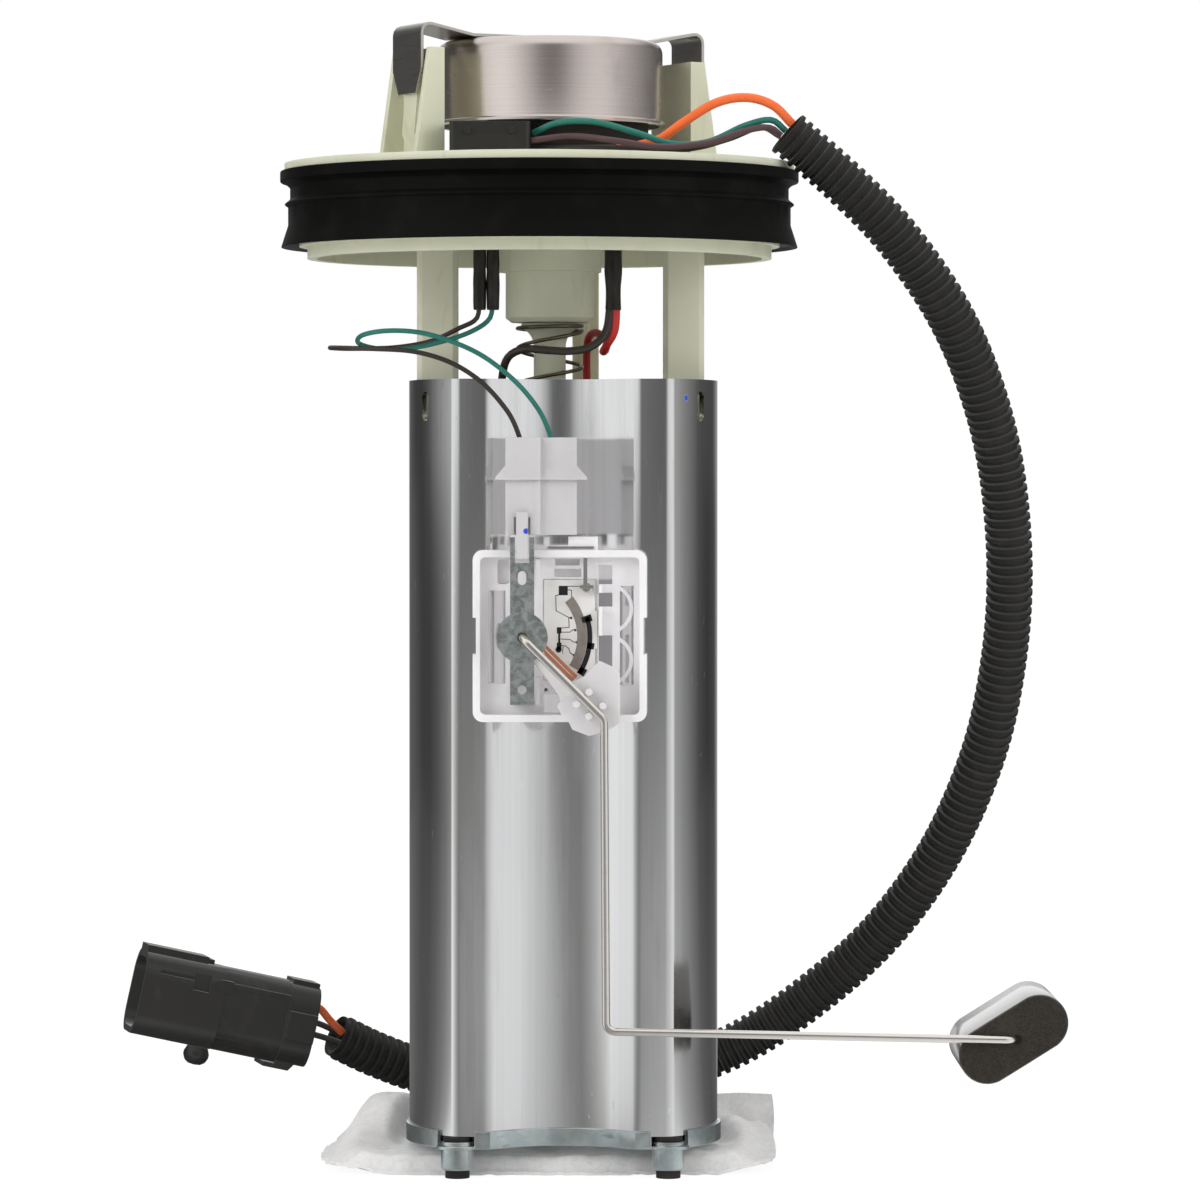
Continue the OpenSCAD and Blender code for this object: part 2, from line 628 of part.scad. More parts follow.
// Sender frame: a plate with a rim, windows, rails, spring ribs, a bearing and a hook in the channel
module sender_frame() {
  color("whitesmoke") difference() {
    union() {
      front_plate(frame_y, flat_y) sender_outline();
      front_plate(rim_y, frame_y) difference() {
        sender_outline();
        translate([sender_x, sender_z])
          rounded_square(sender_w - 2 * frame_rim, sender_h - 2 * frame_rim, 1.4);
      }
      front_plate(rim_y - 0.6, frame_y - 0.5) {
        translate([bridge_x, frame_head + 1.3]) square([bridge_w, 4], center = true);
        translate([pivot_x, pivot_z]) circle(r = hub_r + 2);
        translate([-13.4, pivot_z]) square([1, 24], center = true);
        for (z = [117.5, 146.4]) translate([-6.6, z]) square([1, 6.8]);
        translate([card_at.x + card_size.x / 2 + 0.4, 122.5]) square([0.8, 25]);
      }
      front_plate(flat_y + 0.5, flat_y - 6) translate([-6, 120]) square([12, 28]);
    }
    front_plate(rim_y + 1, flat_y - 1) {
      translate([-16.2, pivot_z]) square([4.2, 22.9], center = true);
      translate([rib_x + 1.6, 134.4]) square([3.4, 24.4], center = true);
      translate([pivot_x, pivot_z]) circle(r = hub_r + fit);
      translate([-4.6, 115.3]) square([3.6, 4.6]);
      for (p = [[-4.3, 147.6], [-4.1, 121]]) translate(p) circle(r = 0.45, $fn = 24);
      translate([-3.2, frame_head + 1.2]) square([4.6, 3]);
      translate([10.55, 128.4]) sender_window(3.4, 12);
      translate([10.55, 143.2]) sender_window(3.4, 3.4);
      translate([10.55, 149.4]) sender_window(3.4, 4.8);
    }
    front_plate(rim_y + 1, flat_y + 0.6) {
      translate([1.2, 152.4]) square([6, 1.5], center = true);
      translate([1.3, 149.8]) square([6.6, 2], center = true);
      translate([-14.6, 150]) rounded_square(3, 6, 0.8);
    }
    front_plate(rim_y + 1, frame_y - 0.6) translate(card_at)
      square([card_size.x + 0.2, card_size.y + 0.2], center = true);
    front_plate(flat_y, flat_y - 7) translate([-4.4, 121.6]) square([8.8, 24.8]);
  }
  color("whitesmoke") front_plate(frame_y, flat_y + 0.6) for (z = [128.3, 141])
    translate([rib_x - 3.1, z]) difference() {
      circle(r = 6.3);
      circle(r = 5.4);
      translate([-12, -10]) square([14.7, 20]);
    }
}

module sender_window(w, h) { square([w, h], center = true); }

module sender_outline() {
  difference() {
    translate([sender_x, sender_z]) rounded_square(sender_w, sender_h, 2.5);
    for (s = [-1, 1]) translate([sender_x + s * sender_w / 2, sender_z]) square([1.6, 9], center = true);
  }
}

// Card of the resistor, whose right edge has a step
module sender_card() {
  color("white") front_plate(frame_y + 0.15, frame_y - 0.6) translate(card_at) difference() {
    square(card_size, center = true);
    for (z = [-1, 1]) translate([card_size.x / 2, z * 9.2]) square([1.2, 9], center = true);
  }
}

// Pivot strap: the sheet arm over the pivot, with an eye, two holes and a fork at the top
module sender_strap() {
  color("slategray") {
    front_plate(strap_y + 0.7, strap_y) difference() {
      union() {
        translate([pivot_x - arm_w / 2, 118.2]) square([arm_w, 40.4]);
        translate([pivot_x, pivot_z]) circle(r = 6.3);
      }
      translate([pivot_x, 148.6]) slot_cut(2.1, 3.4);
      translate([pivot_x, 121.2]) circle(r = 1.1);
      translate([pivot_x, pivot_z]) circle(r = rod_d / 2 + 0.35);
      translate([pivot_x, 156.4]) square([3.5, 8.2], center = true);
    }
    front_plate(strap_y + 0.1, frame_y) translate([pivot_x - arm_w / 2, 117.5]) square([arm_w, 0.7]);
    for (s = [-1, 1]) front_plate(strap_y + 0.1, rim_y - 0.6)
      translate([pivot_x + s * 2.4, 157.8]) square([1.1, 1.6], center = true);
  }
}

// Clip of the card's lead: the strip on the bridge, the blade down to the card and its joint
module sender_clip() {
  color("silver") {
    front_plate(rim_y - 0.9, rim_y - 1.7) {
      translate([5.6, 150.1]) square([1, 6.8], center = true);
      translate([5.9, 146.4]) square([3.4, 0.9], center = true);
    }
    front_plate(rim_y - 1.4, frame_y + 0.15) translate([5.9, 146.3]) circle(r = 1.1);
    front_plate(rim_y - 0.15, rim_y - 0.55) translate([bridge_x, frame_head + 0.6])
      square([bridge_w - 2, 0.6], center = true);
  }
}

// Plug of the sender: two blocks side by side, the flared skirt and the latch tongue in the strap's fork
module sender_plug() {
  split = -5.4;
  color("white") difference() {
    union() {
      front_plate(plug_front, flat_y + 0.4) translate([plug_x, plug_z]) square([split - plug_x, plug_h]);
      front_plate(plug_front - 1.6, flat_y + 0.4) translate([split - 1, plug_z])
        square([plug_w + plug_x - split + 1, plug_h]);
      plug_skirt(plug_x, split, plug_front, 1.4);
      plug_skirt(split - 1, plug_x + plug_w, plug_front - 1.6, 1.4);
      front_plate(plug_front, flat_y + 4) translate([plug_x, plug_z - 2.8]) square([0.95, 4]);
      front_plate(plug_front + 1.2, plug_front - 0.2) translate([pivot_x - 1.4, 153.3]) square([2.8, 11]);
      front_plate(plug_front + 1.2, plug_front - 0.4) translate([pivot_x - 1.4, 162.2]) square([2.8, 2.6]);
    }
    front_plate(plug_front + 2, plug_front - 1.2) for (s = [-1, 1])
      translate([pivot_x + s * 1.75, 161.2]) square([0.5, 4.6], center = true);
  }
}

// Skirt of the plug: it leans outwards to the foot and ends in a flat ledge
module plug_skirt(x0, x1, front, flare) {
  wing = 2.6;
  translate([0, 0, skirt_foot]) hull() {
    translate([x0 == plug_x ? x0 - wing : x0, -front - flare, 0])
      cube([x1 - x0 + wing, front + flare - flat_y - 0.4, 0.5]);
    translate([x0, -front, 3.4]) cube([x1 - x0, front - flat_y - 0.4, 0.1]);
  }
}

// Float arm: the bent wire, whose rear end is the pivot and whose front end enters the float
module float_rod() {
  color("gainsboro") swept(rounded(ROD, 2.4, 5), rod_d, 12);
}

module float() {
  color("darkolivegreen") difference() {
    translate([float_x, 0, float_z]) rotate([0, -float_turn, 0])
      front_plate(float_y, float_y - float_deep) {
        for (s = [-1, 1]) translate([s * (float_long - float_thick) / 2, 0])
          circle(d = float_thick);
        square([float_long - float_thick, float_thick], center = true);
      }
    translate([float_x, -float_y - 1, float_z]) rotate([-90, 0, 0])
      cylinder(r = rod_d / 2 + seat, h = 16);
  }
}

// Wiper lever: the hub in the frame's bearing, the wedge under the rod and the pegs beside it
module wiper_lever() {
  color("whitesmoke") difference() {
    union() {
      front_plate(rim_y + 0.3, flat_y + 0.8) translate([pivot_x, pivot_z]) circle(r = hub_r);
      front_plate(strap_y - 0.3, rim_y + 0.3) translate([pivot_x, pivot_z]) {
        circle(r = 4.6);
        polygon([[-2.6, -3.6], [3.2, 2.6], [5.6, -4.4], [12, -10.8], [15.2, -9.6], [19, -5.7],
          [22.5, -7.3], [24, -8.6], [24, -21], [20.9, -22.9], [16.4, -24.2], [12.3, -22.6],
          [11.3, -20.5], [9.6, -18.8], [8.6, -16.9], [9.4, -15.6], [8.8, -14], [3.7, -7]]);
      }
      translate([pivot_x, 0, pivot_z]) rotate([0, rod_fall, 0]) for (p = PEGS)
        translate([p.x, 0, p.y]) front_plate(rod_y + 0.3, rim_y + 1) circle(r = peg_r, $fn = 32);
    }
    translate([pivot_x, -rim_y + 1 + seat, pivot_z]) rotate([90, 0, 0])
      cylinder(r = rod_d / 2 + seat, h = 20);
  }
}

// Contacts: two strips along the rod, bent back at their ends to the card
module wiper_contacts() {
  color("peru") translate([pivot_x, 0, pivot_z]) rotate([0, rod_fall, 0]) for (z = [0.9, 2])
    translate([0, 0, z]) {
      front_plate(rim_y + 0.3, rim_y - 0.1) translate([hub_r + 0.7, 0]) square([12.4, 0.85]);
      front_plate(rim_y - 0.1, frame_y + 0.45) translate([15.6, 0]) square([0.7, 0.85]);
    }
}

// Flange: the deck with rim, pad and skirt, the cup under it and two towers for the strap
module flange_plate() {
  color("beige") difference() {
    union() {
      translate([head_x, 0, 0]) {
        translate([0, 0, flange_top - rim_t]) cylinder(r = flange_r, h = rim_t);
        translate([0, 0, flange_top - rim_t]) cylinder(r = pad_r, h = rim_t + pad_h);
        ring(neck_r, skirt_r - skirt_wall, skirt_z + 3, flange_top - rim_t);
        ring(skirt_r, skirt_r - skirt_wall, skirt_z, skirt_z + 4);
        translate([0, 0, flange_top - deck_t]) cylinder(r = skirt_r, h = deck_t);
        ring(48, 46.4, skirt_z + 8, flange_top - deck_t + 0.5);
      }
      for (turn = [20, 70, 110, 160, 200, 250, 290, 340]) translate([head_x, 0, skirt_z + 9])
        rotate([0, 0, turn]) translate([16, -0.8, 0]) cube([skirt_r - 17, 1.6, skirt_h - 11]);
      at_core(skirt_z - 3) cylinder(r = cup_r + 1.9, h = skirt_h + 1);
      at_core(cup_z) cylinder(r1 = cup_r - 1.4, r2 = cup_r, h = 1.2);
      at_core(cup_z + 1.2) cylinder(r = cup_r, h = skirt_z - cup_z);
      at_core(flange_top) cylinder(r = can_r - 6.5, h = can_z - flange_top - 2);
      strap_tower(0, tower_top - 1.6);
      strap_tower(180, tower_top - 0.4);
      translate(concat(elbow, flange_top)) cylinder(r = 5, h = 9);
    }
    at_core(cup_z - 1) cylinder(r = stem_d / 2 + seat, h = 60);
    seal_shapes(seat, sleeve_top - 10, deck_top + 1);
    translate(concat(elbow, flange_top - 10)) cylinder(r = 2.4, h = 40);
    for (s = [-1, 1]) translate([leg_shift + s * leg_x, 0, leg_top - 20])
      linear_extrude(20) square([leg_w + 2 * loose, leg_deep + 2 * loose], center = true);
    translate(concat(rear_leg, leg_top - 20)) linear_extrude(20)
      square([rear_leg_w + 2 * loose, 4 + 2 * loose], center = true);
  }
}

// One tower: two ribs with slanted outer edges, the web between them and the strap's catch
module strap_tower(turn, top) {
  inner = strap_reach - 4.5;
  at_core() rotate([0, 0, strap_turn + turn]) {
    for (s = [-1, 1]) translate([0, s * (strap_w / 2 + 0.5) + (s - 1) / 2 * 2, 0])
      translate([0, 2, 0]) rotate([90, 0, 0]) linear_extrude(2)
        polygon([[inner, flange_top], [inner, top], [strap_reach - 0.5, top],
          [strap_reach + 3.6, flange_top]]);
    translate([inner, -strap_w / 2 - 1, flange_top]) cube([2, strap_w + 2, top - flange_top]);
    translate([0, 3.5, 0]) rotate([90, 0, 0]) linear_extrude(7)
      polygon([[inner + 1, flange_top], [inner + 1, top - 1.6], [strap_reach - 1, top - 3.6],
        [strap_reach + 0.4, flange_top + 7], [strap_reach - 1, flange_top + 4],
        [strap_reach - 1, flange_top]]);
  }
}

// Tank seal: a ring with a top lip, a groove, a thin second lip, a band and a flared foot
module tank_seal() {
  color("black") translate([head_x, 0, flange_top]) rotate_extrude() translate([flange_r, 0])
    polygon([[seat - 3.7, -rim_t], [1.1, -rim_t], [1.1, -4.6], [-0.2, -5], [-1.4, -6], [-1.4, -9],
      [0.1, -10.2], [-0.9, -10.8], [-0.9, -15.4], [0.9, -21], [-1, -20.2], [seat - 3.7, -20.2]]);
}

module guide_leg(s) {
  color("beige") translate([leg_shift + s * leg_x, 0, 0]) {
    translate([0, 0, leg_bottom]) linear_extrude(leg_top - leg_bottom) difference() {
      square([leg_w, leg_deep], center = true);
      translate([-s * 4, 0]) square([leg_w, leg_deep - 3.6], center = true);
      for (x = [-1, 1]) translate([x * leg_w / 2, -leg_deep / 2]) rotate([0, 0, 45])
        square([1.8, 1.8], center = true);
    }
  }
  color("beige") intersection() {
    translate([0, 0, leg_bottom]) ring(tube_inner - 0.5, tube_inner - 3.4, 0, barb_h);
    rotate([0, 0, s > 0 ? -hole_turn - 5 : 180]) linear_extrude(400)
      polygon([[0, 0], [60, 0], [60 * cos(hole_turn + 5), 60 * sin(hole_turn + 5)]]);
  }
}

module guide_leg_left() { guide_leg(-1); }
module guide_leg_right() { guide_leg(1); }

module guide_leg_rear() {
  color("khaki") translate(concat(rear_leg, leg_bottom)) linear_extrude(leg_top - leg_bottom) {
    square([rear_leg_w, 1.6], center = true);
    square([1.6, 4], center = true);
  }
}

// Regulator can: a drawn cup with a round top edge and a rolled lip
module regulator_can() {
  color("silver") at_core(can_z) rotate_extrude() {
    difference() {
      can_profile(can_r, can_h, 3);
      translate([-1, -1]) square([1, can_h + 2]);
      translate([0, -can_t]) can_profile(can_r - can_t, can_h, 2.1);
    }
    translate([can_r - can_t, 0]) square([can_t + 0.9, 1.1]);
  }
}

module can_profile(r, h, edge) {
  square([r - edge, h]);
  square([r, h - edge]);
  translate([r - edge, h - edge]) circle(r = edge);
}

module can_seal() {
  color("black") at_core() {
    difference() {
      ring(can_r - 3.6, can_r - 6.5 + seat, deck_top, can_z);
      translate([sleeve_pump.x - core_x, sleeve_pump.y - core_y, deck_top - 1]) cylinder(r = 3.6, h = 4);
    }
    ring(can_r - can_t - 0.3, can_r - 7.4, can_z, can_z + 2);
  }
}

module filter_element() {
  color("tan") at_core(can_z + 2.2) difference() {
    cylinder(r = can_r - 3.2, h = can_h - 4);
    translate([0, 0, -1]) cylinder(r = 10.5, h = can_h);
    for (k = [0:29]) rotate([0, 0, 12 * k]) translate([can_r - 5, -0.6, -1]) cube([3, 1.2, can_h]);
  }
}

module regulator_valve() {
  color("silver") at_core() difference() {
    union() {
      translate([0, 0, can_z - 2]) cylinder(r = 10, h = 12);
      translate([0, 0, can_z + 10]) cylinder(r1 = 10, r2 = 6, h = 4);
    }
    translate([0, 0, can_z - 3]) cylinder(r = 3, h = 9);
  }
}

// Retaining strap: a sheet bridge over the can, whose two legs taper to their ends
STRAP = [[-strap_reach, flange_top + 17], [-strap_reach, flange_top + 34.2],
  [-can_r + 3, can_z + can_h + 0.2], [can_r - 3, can_z + can_h + 0.2],
  [strap_reach, flange_top + 34.2], [strap_reach, flange_top + 17]];

function flat_route(p) = [for (q = p) [q.x, 0, q.y]];
function leaned(p, i) = let (t = along(p, i)) [-t.z, 0, t.x];
function sheet(p, t) = concat([for (q = p) [q.x, q.z]],
  [for (i = [len(p) - 1:-1:0]) let (q = p[i] + t * leaned(p, i)) [q.x, q.z]]);

module retaining_strap() {
  color("silver") at_core() rotate([0, 0, strap_turn]) intersection() {
    translate([0, strap_w / 2, 0]) rotate([90, 0, 0]) linear_extrude(strap_w)
      polygon(sheet(rounded(flat_route(STRAP), 1.8, 4), strap_t));
    rotate([90, 0, 90]) translate([0, 0, -60]) linear_extrude(120)
      polygon([[-strap_w / 2, flange_top + 40], [-strap_w / 2, flange_top + 23],
        [-4.4, flange_top + 16], [4.4, flange_top + 16], [strap_w / 2, flange_top + 23],
        [strap_w / 2, flange_top + 40]]);
  }
}

// Fuel outlet: an elbow whose nipple points to the rear, with the bead of a quick connector
module fuel_outlet() {
  color("gray") difference() {
    union() {
      translate(concat(elbow, flange_top + 9)) cylinder(r = 5, h = outlet_h - 4);
      translate(concat(elbow, flange_top + outlet_h)) rotate([-90, 0, 0]) {
        cylinder(d = 7.9, h = 34);
        translate([0, 0, 11]) cylinder(d = 9.9, h = 2);
        translate([0, 0, 2]) cylinder(d = 11, h = 2);
      }
    }
    translate(concat(elbow, flange_top + 8)) cylinder(r = 2.4, h = 7);
    translate(concat(elbow, flange_top + outlet_h)) rotate([-90, 0, 0]) cylinder(r = 2.4, h = 40);
  }
}

// Supply stem: the tube that slides in the coupling, with a flare below the cup
module supply_stem() {
  color("beige") at_core() difference() {
    union() {
      translate([0, 0, stem_end]) cylinder(d = stem_d, h = can_z - 4 - stem_end);
      translate([0, 0, cup_z - 6]) rotate_extrude() difference() {
        square([7.2, 5.8]);
        translate([stem_d / 2 + 5, 0]) circle(r = 5, $fn = 64);
      }
    }
    translate([0, 0, stem_end - 1]) cylinder(d = stem_d - 2.8, h = can_z);
  }
}

// Compression spring: a helix whose first and last turns lie close
function coil_z(t) = t < 1 ? t * wire_d * 1.05 : t > spring_turns - 1 ?
  cup_z - 0.3 - wire_d - (spring_turns - t) * wire_d * 1.05 - spring_z :
  let (low = wire_d * 1.05, high = cup_z - 0.3 - wire_d - low - spring_z)
  low + (high - low) * (t - 1) / (spring_turns - 2);
COIL = [for (i = [0:spring_turns * 14]) let (t = i / 14) [spring_r * cos(360 * t),
  spring_r * sin(360 * t), spring_z + 0.1 + wire_d / 2 + coil_z(t)]];
function outward(i) = [cos(360 * i / 14), sin(360 * i / 14), 0];

module compression_spring() {
  sides = 6;
  last = len(COIL) - 1;
  points = [for (i = [0:last]) each ring_at(COIL[i], outward(i), [0, 0, 1], wire_d / 2, sides)];
  walls = [for (i = [0:last - 1], k = [0:sides - 1]) let (a = i * sides + k,
    b = i * sides + (k + 1) % sides) each [[a, b, a + sides], [b, b + sides, a + sides]]];
  color("dimgray") at_core() polyhedron(points, concat([[for (k = [sides - 1:-1:0]) k]], walls,
    [[for (k = [0:sides - 1]) last * sides + k]]), convexity = 12);
}

module terminal_block() {
  color("black") translate([block_at.x, block_at.y, deck_top]) {
    linear_extrude(block_size.z) rounded_square(block_size.x, block_size.y, 1.2);
    for (x = [-5.5, 5.5]) translate([x, -block_size.y / 2 + 1, block_size.z - 2.4])
      rotate([90, 0, 0]) cylinder(r = 0.8, h = 1.8);
  }
}

// The two grommets of the leads, grown by gap: one oval, one round
module seal_shapes(gap, z0, z1) {
  r = 2.4 + gap;
  for (p = [sleeve_black, sleeve_green]) translate([p.x, p.y, z0]) cylinder(r = r, h = z1 - z0);
  translate([sleeve_black.x, sleeve_black.y - r, z0]) cube([sleeve_green.x - sleeve_black.x, 2 * r, z1 - z0]);
  translate([sleeve_pump.x, sleeve_pump.y, z0]) cylinder(r = 3.2 + gap, h = z1 - z0);
}

module lead_seals() {
  color("dimgray") seal_shapes(0, sleeve_top, deck_top);
}

module lead_sleeves() {
  color("black") {
    for (p = [sleeve_black, sleeve_green]) translate([p.x, p.y, sleeve_end])
      cylinder(d = 3.2, h = sleeve_top - sleeve_end);
    translate([sleeve_pump.x, sleeve_pump.y, sleeve_end]) cylinder(d = 4.3, h = sleeve_top - sleeve_end);
  }
}

module sender_lead_black() { color("black") swept(raised(SENDER_BLACK, LEADS), lead_d, 8); }
module sender_lead_green() { color("teal") swept(raised(SENDER_GREEN, LEADS), lead_d, 8); }
module pump_lead_black() { color("black") swept(raised(PUMP_BLACK, FEEDS), feed_d, 8); }
module pump_lead_red() { color("crimson") swept(raised(PUMP_RED, FEEDS), feed_d, 8); }
module harness_wire_orange() { color("orangered") swept(raised(WIRE_ORANGE, OVER_FLANGE), battery_d, 8); }
module harness_wire_green() { color("teal") swept(raised(WIRE_GREEN, OVER_FLANGE), harness_d, 8); }
module harness_wires_dark() {
  color("black") swept(raised(WIRE_BLACK, OVER_FLANGE), harness_d, 8);
  color("saddlebrown") swept(raised(WIRE_BROWN, OVER_FLANGE), harness_d, 8);
}
module harness_conduit() { color("black") swept(behind(raised(CONDUIT, HARNESS)), conduit_d, 10); }

module tail_wire_orange() { color("orangered") swept(TAIL_ORANGE, battery_d, 8); }
module tail_wires_black() {
  color("black") {
    swept(TAIL_BLACK_A, harness_d, 8);
    swept(TAIL_BLACK_B, harness_d, 8);
  }
}

// Connector: everything is drawn along -X from its rear face and then turned
module on_connector() { translate(conn_at) rotate([0, conn_turn, conn_yaw]) children(); }
module conn_block(x0, x1, w, h, r, drop = 0) {
  translate([-x1, 0, -drop]) rotate([90, 0, 90]) linear_extrude(x1 - x0) rounded_square(w, h, r);
}

module at_pins(long) {
  for (y = [-4, 4], z = [-4, 4]) translate([-plug_len + hood_len + 2 - long, y, z - barrel_drop])
    rotate([0, 90, 0]) children();
}

// Shell: barrel and hood with one flat underside, the rail on top, a ledge and a latch on each side
module connector_shell() {
  hood_x = plug_len - hood_len;
  color("black") on_connector() difference() {
    union() {
      conn_block(collar_len, hood_x, 20, barrel_h, 7, barrel_drop);
      conn_block(hood_x - 1, plug_len, 22, barrel_h, 6, barrel_drop);
      translate([-plug_len, -rail_w / 2, barrel_top - 2]) cube([16, rail_w, hood_top - barrel_top + 2]);
      translate([-plug_len + 16, -4, barrel_top - 1]) cube([1.8, 8, 2.2]);
      for (s = [-1, 1]) {
        translate([-hood_x - 1, s * 10 - 0.6, ledge_z]) cube([hood_x - collar_len + 1, 1.2, 1.2]);
        translate([-hood_x - 0.6, s * 10.4 - 1, ledge_z - 1.4]) cube([3.4, 2, 3]);
      }
    }
    conn_block(hood_x + 2, plug_len + 1, 22 - 2 * hood_wall, barrel_h - 2 * hood_wall, 4.6, barrel_drop);
    for (s = [-1, 1]) {
      translate([-plug_len + 3.8, s * 11 - 1, ledge_z]) cube([9.2, 2, 0.9]);
      translate([-plug_len + 12.8, s * 11 - 1, ledge_z - 2.4]) cube([4.2, 2, 5]);
    }
    at_pins(14 + seat) cylinder(r = pin_d / 2 + seat, h = 15);
  }
}

// Collar: the rear cap with a block on top, a box on each side and a saddle under the barrel
module connector_collar() {
  color("black") on_connector() {
    conn_block(0, collar_len - seat, 21, 20.6, 6, barrel_drop);
    translate([-collar_len + 0.6, -6, barrel_top - 2]) cube([collar_len - 1, 12, 2.8]);
    for (s = [-1, 1]) translate([-collar_len + 0.6, s * 10.4 - 0.8, ledge_z - 10])
      cube([collar_len - 0.6, 1.6, 7.4]);
    translate([0, 7, 0]) rotate([90, 0, 0]) linear_extrude(14)
      polygon([[-collar_len - 3, barrel_foot - seat], [-collar_len - 3, barrel_foot - 1.3],
        [-4.2, barrel_foot - 1.3], [-1.6, barrel_foot + 2.4], [-3, barrel_foot + 3],
        [-collar_len + seat, barrel_foot + 3], [-collar_len + seat, barrel_foot - seat]]);
  }
}

module connector_pins() {
  color("goldenrod") on_connector() at_pins(14) cylinder(d = pin_d, h = 14);
}

// Peg under the connector, a domed stud that snaps into a bracket
module connector_peg() {
  color("black") on_connector() translate([-plug_len + 18.8, 0, barrel_foot - seat])
    rotate_extrude() polygon([[0, 0], [2.6, 0], [3.3, -1.7], [3.3, -2.6], [2.7, -4], [1.6, -4.7], [0, -4.9]]);
}

housing_tube();
base_pan();
foot_ferrules();
foot_bumpers();
strainer_sock();
strainer_neck();
lower_holder();
lower_isolator();
pump_case();
pump_inlet_cap();
pump_outlet_cap();
pump_magnets();
pump_brushes();
pump_terminals();
pump_armature();
pump_impeller();
upper_isolator();
upper_holder();
slip_coupling();
coupling_oring();
sender_frame();
sender_card();
sender_strap();
sender_clip();
sender_plug();
float_rod();
float();
wiper_lever();
wiper_contacts();
flange_plate();
tank_seal();
guide_leg_left();
guide_leg_right();
guide_leg_rear();
regulator_can();
can_seal();
filter_element();
regulator_valve();
retaining_strap();
fuel_outlet();
supply_stem();
compression_spring();
terminal_block();
lead_seals();
lead_sleeves();
sender_lead_black();
sender_lead_green();
pump_lead_black();
pump_lead_red();
harness_wire_orange();
harness_wire_green();
harness_wires_dark();
harness_conduit();
connector_shell();
connector_collar();
connector_pins();
connector_peg();
tail_wire_orange();
tail_wires_black();
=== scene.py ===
"""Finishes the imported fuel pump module: bright tube, felt, moulded plastic, wires and conduit."""

import functools
import json
import math

import bmesh
import bpy
from bpy.props import FloatProperty, FloatVectorProperty, IntProperty, PointerProperty
from mathutils import Matrix, Vector, noise

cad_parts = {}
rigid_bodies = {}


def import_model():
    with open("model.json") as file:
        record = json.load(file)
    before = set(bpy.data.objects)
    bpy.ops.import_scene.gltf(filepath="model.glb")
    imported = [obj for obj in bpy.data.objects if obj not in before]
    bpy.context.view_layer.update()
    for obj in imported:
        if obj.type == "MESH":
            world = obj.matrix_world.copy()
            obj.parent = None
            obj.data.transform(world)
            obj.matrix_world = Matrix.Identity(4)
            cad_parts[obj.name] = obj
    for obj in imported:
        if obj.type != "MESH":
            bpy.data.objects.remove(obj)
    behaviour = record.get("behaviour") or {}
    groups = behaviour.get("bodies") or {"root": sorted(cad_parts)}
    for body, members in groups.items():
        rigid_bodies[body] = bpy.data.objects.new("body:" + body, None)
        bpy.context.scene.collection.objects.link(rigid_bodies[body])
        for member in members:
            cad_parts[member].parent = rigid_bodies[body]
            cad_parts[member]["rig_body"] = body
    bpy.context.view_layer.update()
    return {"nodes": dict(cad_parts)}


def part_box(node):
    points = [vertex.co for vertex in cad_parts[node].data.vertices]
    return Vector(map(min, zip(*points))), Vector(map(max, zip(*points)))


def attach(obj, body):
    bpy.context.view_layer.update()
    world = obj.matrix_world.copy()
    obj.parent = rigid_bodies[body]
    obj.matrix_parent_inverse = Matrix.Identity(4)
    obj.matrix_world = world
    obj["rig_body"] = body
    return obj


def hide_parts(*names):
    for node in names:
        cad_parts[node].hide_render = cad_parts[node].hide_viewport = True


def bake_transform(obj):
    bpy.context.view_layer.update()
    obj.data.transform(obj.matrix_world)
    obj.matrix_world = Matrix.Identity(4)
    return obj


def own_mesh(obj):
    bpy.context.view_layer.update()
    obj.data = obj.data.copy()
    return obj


bl_info = {
    "name": "Fuel pump module",
    "version": (1, 0, 0),
    "blender": (4, 5, 0),
    "location": "3D View > Sidebar > Fuel module",
    "description": "Gives each piece of a fuel pump module its finished shape and material",
    "category": "Object",
}

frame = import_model()
NODES = frame["nodes"]
MM = 0.001


def mm(points):
    """Points given in millimetres, as vectors in metres."""
    return [Vector(p) * MM for p in points]


def tone(red, green, blue):
    """A colour read as 0 to 255, as the linear colour that shaders take."""
    return tuple(
        c / 12.92 if c <= 0.04045 else ((c + 0.055) / 1.055) ** 2.4
        for c in (red / 255, green / 255, blue / 255)
    )


def full(colour):
    return (*colour[:3], 1.0)

# Routes of the cords and of the float rod, given in millimetres
CONDUIT = mm([
    (55.5, -22, 258.7), (71, -20, 245.2), (83, -17, 233), (95.4, -12, 215.8), (104, -5, 197.9),
    (110, 2, 177), (112.8, 9, 152), (112, 17, 128), (107.5, 26, 103.5), (97.5, 35, 78.5),
    (83, 42, 57), (65.5, 47, 40.3), (45.5, 49, 26.7), (25, 49.5, 19.2), (4, 49.5, 15.6),
    (-16, 49, 15.9), (-35, 46, 19.2), (-48, 41.5, 24.1), (-58.5, 37, 29.5),
])
SENDER_BLACK = mm([
    (-20.7, -17, 216.6), (-21.6, -17, 212.7), (-26, -16.5, 210.4), (-33, -14, 207.3),
    (-42, -12.5, 205.8), (-50, -12.5, 205.6), (-56, -17, 205.6), (-57.5, -24, 205.4),
    (-53.5, -32, 205), (-46, -37, 204.8), (-36, -39.5, 204), (-27, -40, 201.2),
    (-19.5, -39.5, 196.3), (-13.5, -38, 189.5), (-10.9, -36.1, 184.2), (-10.5, -35.4, 182.2),
])
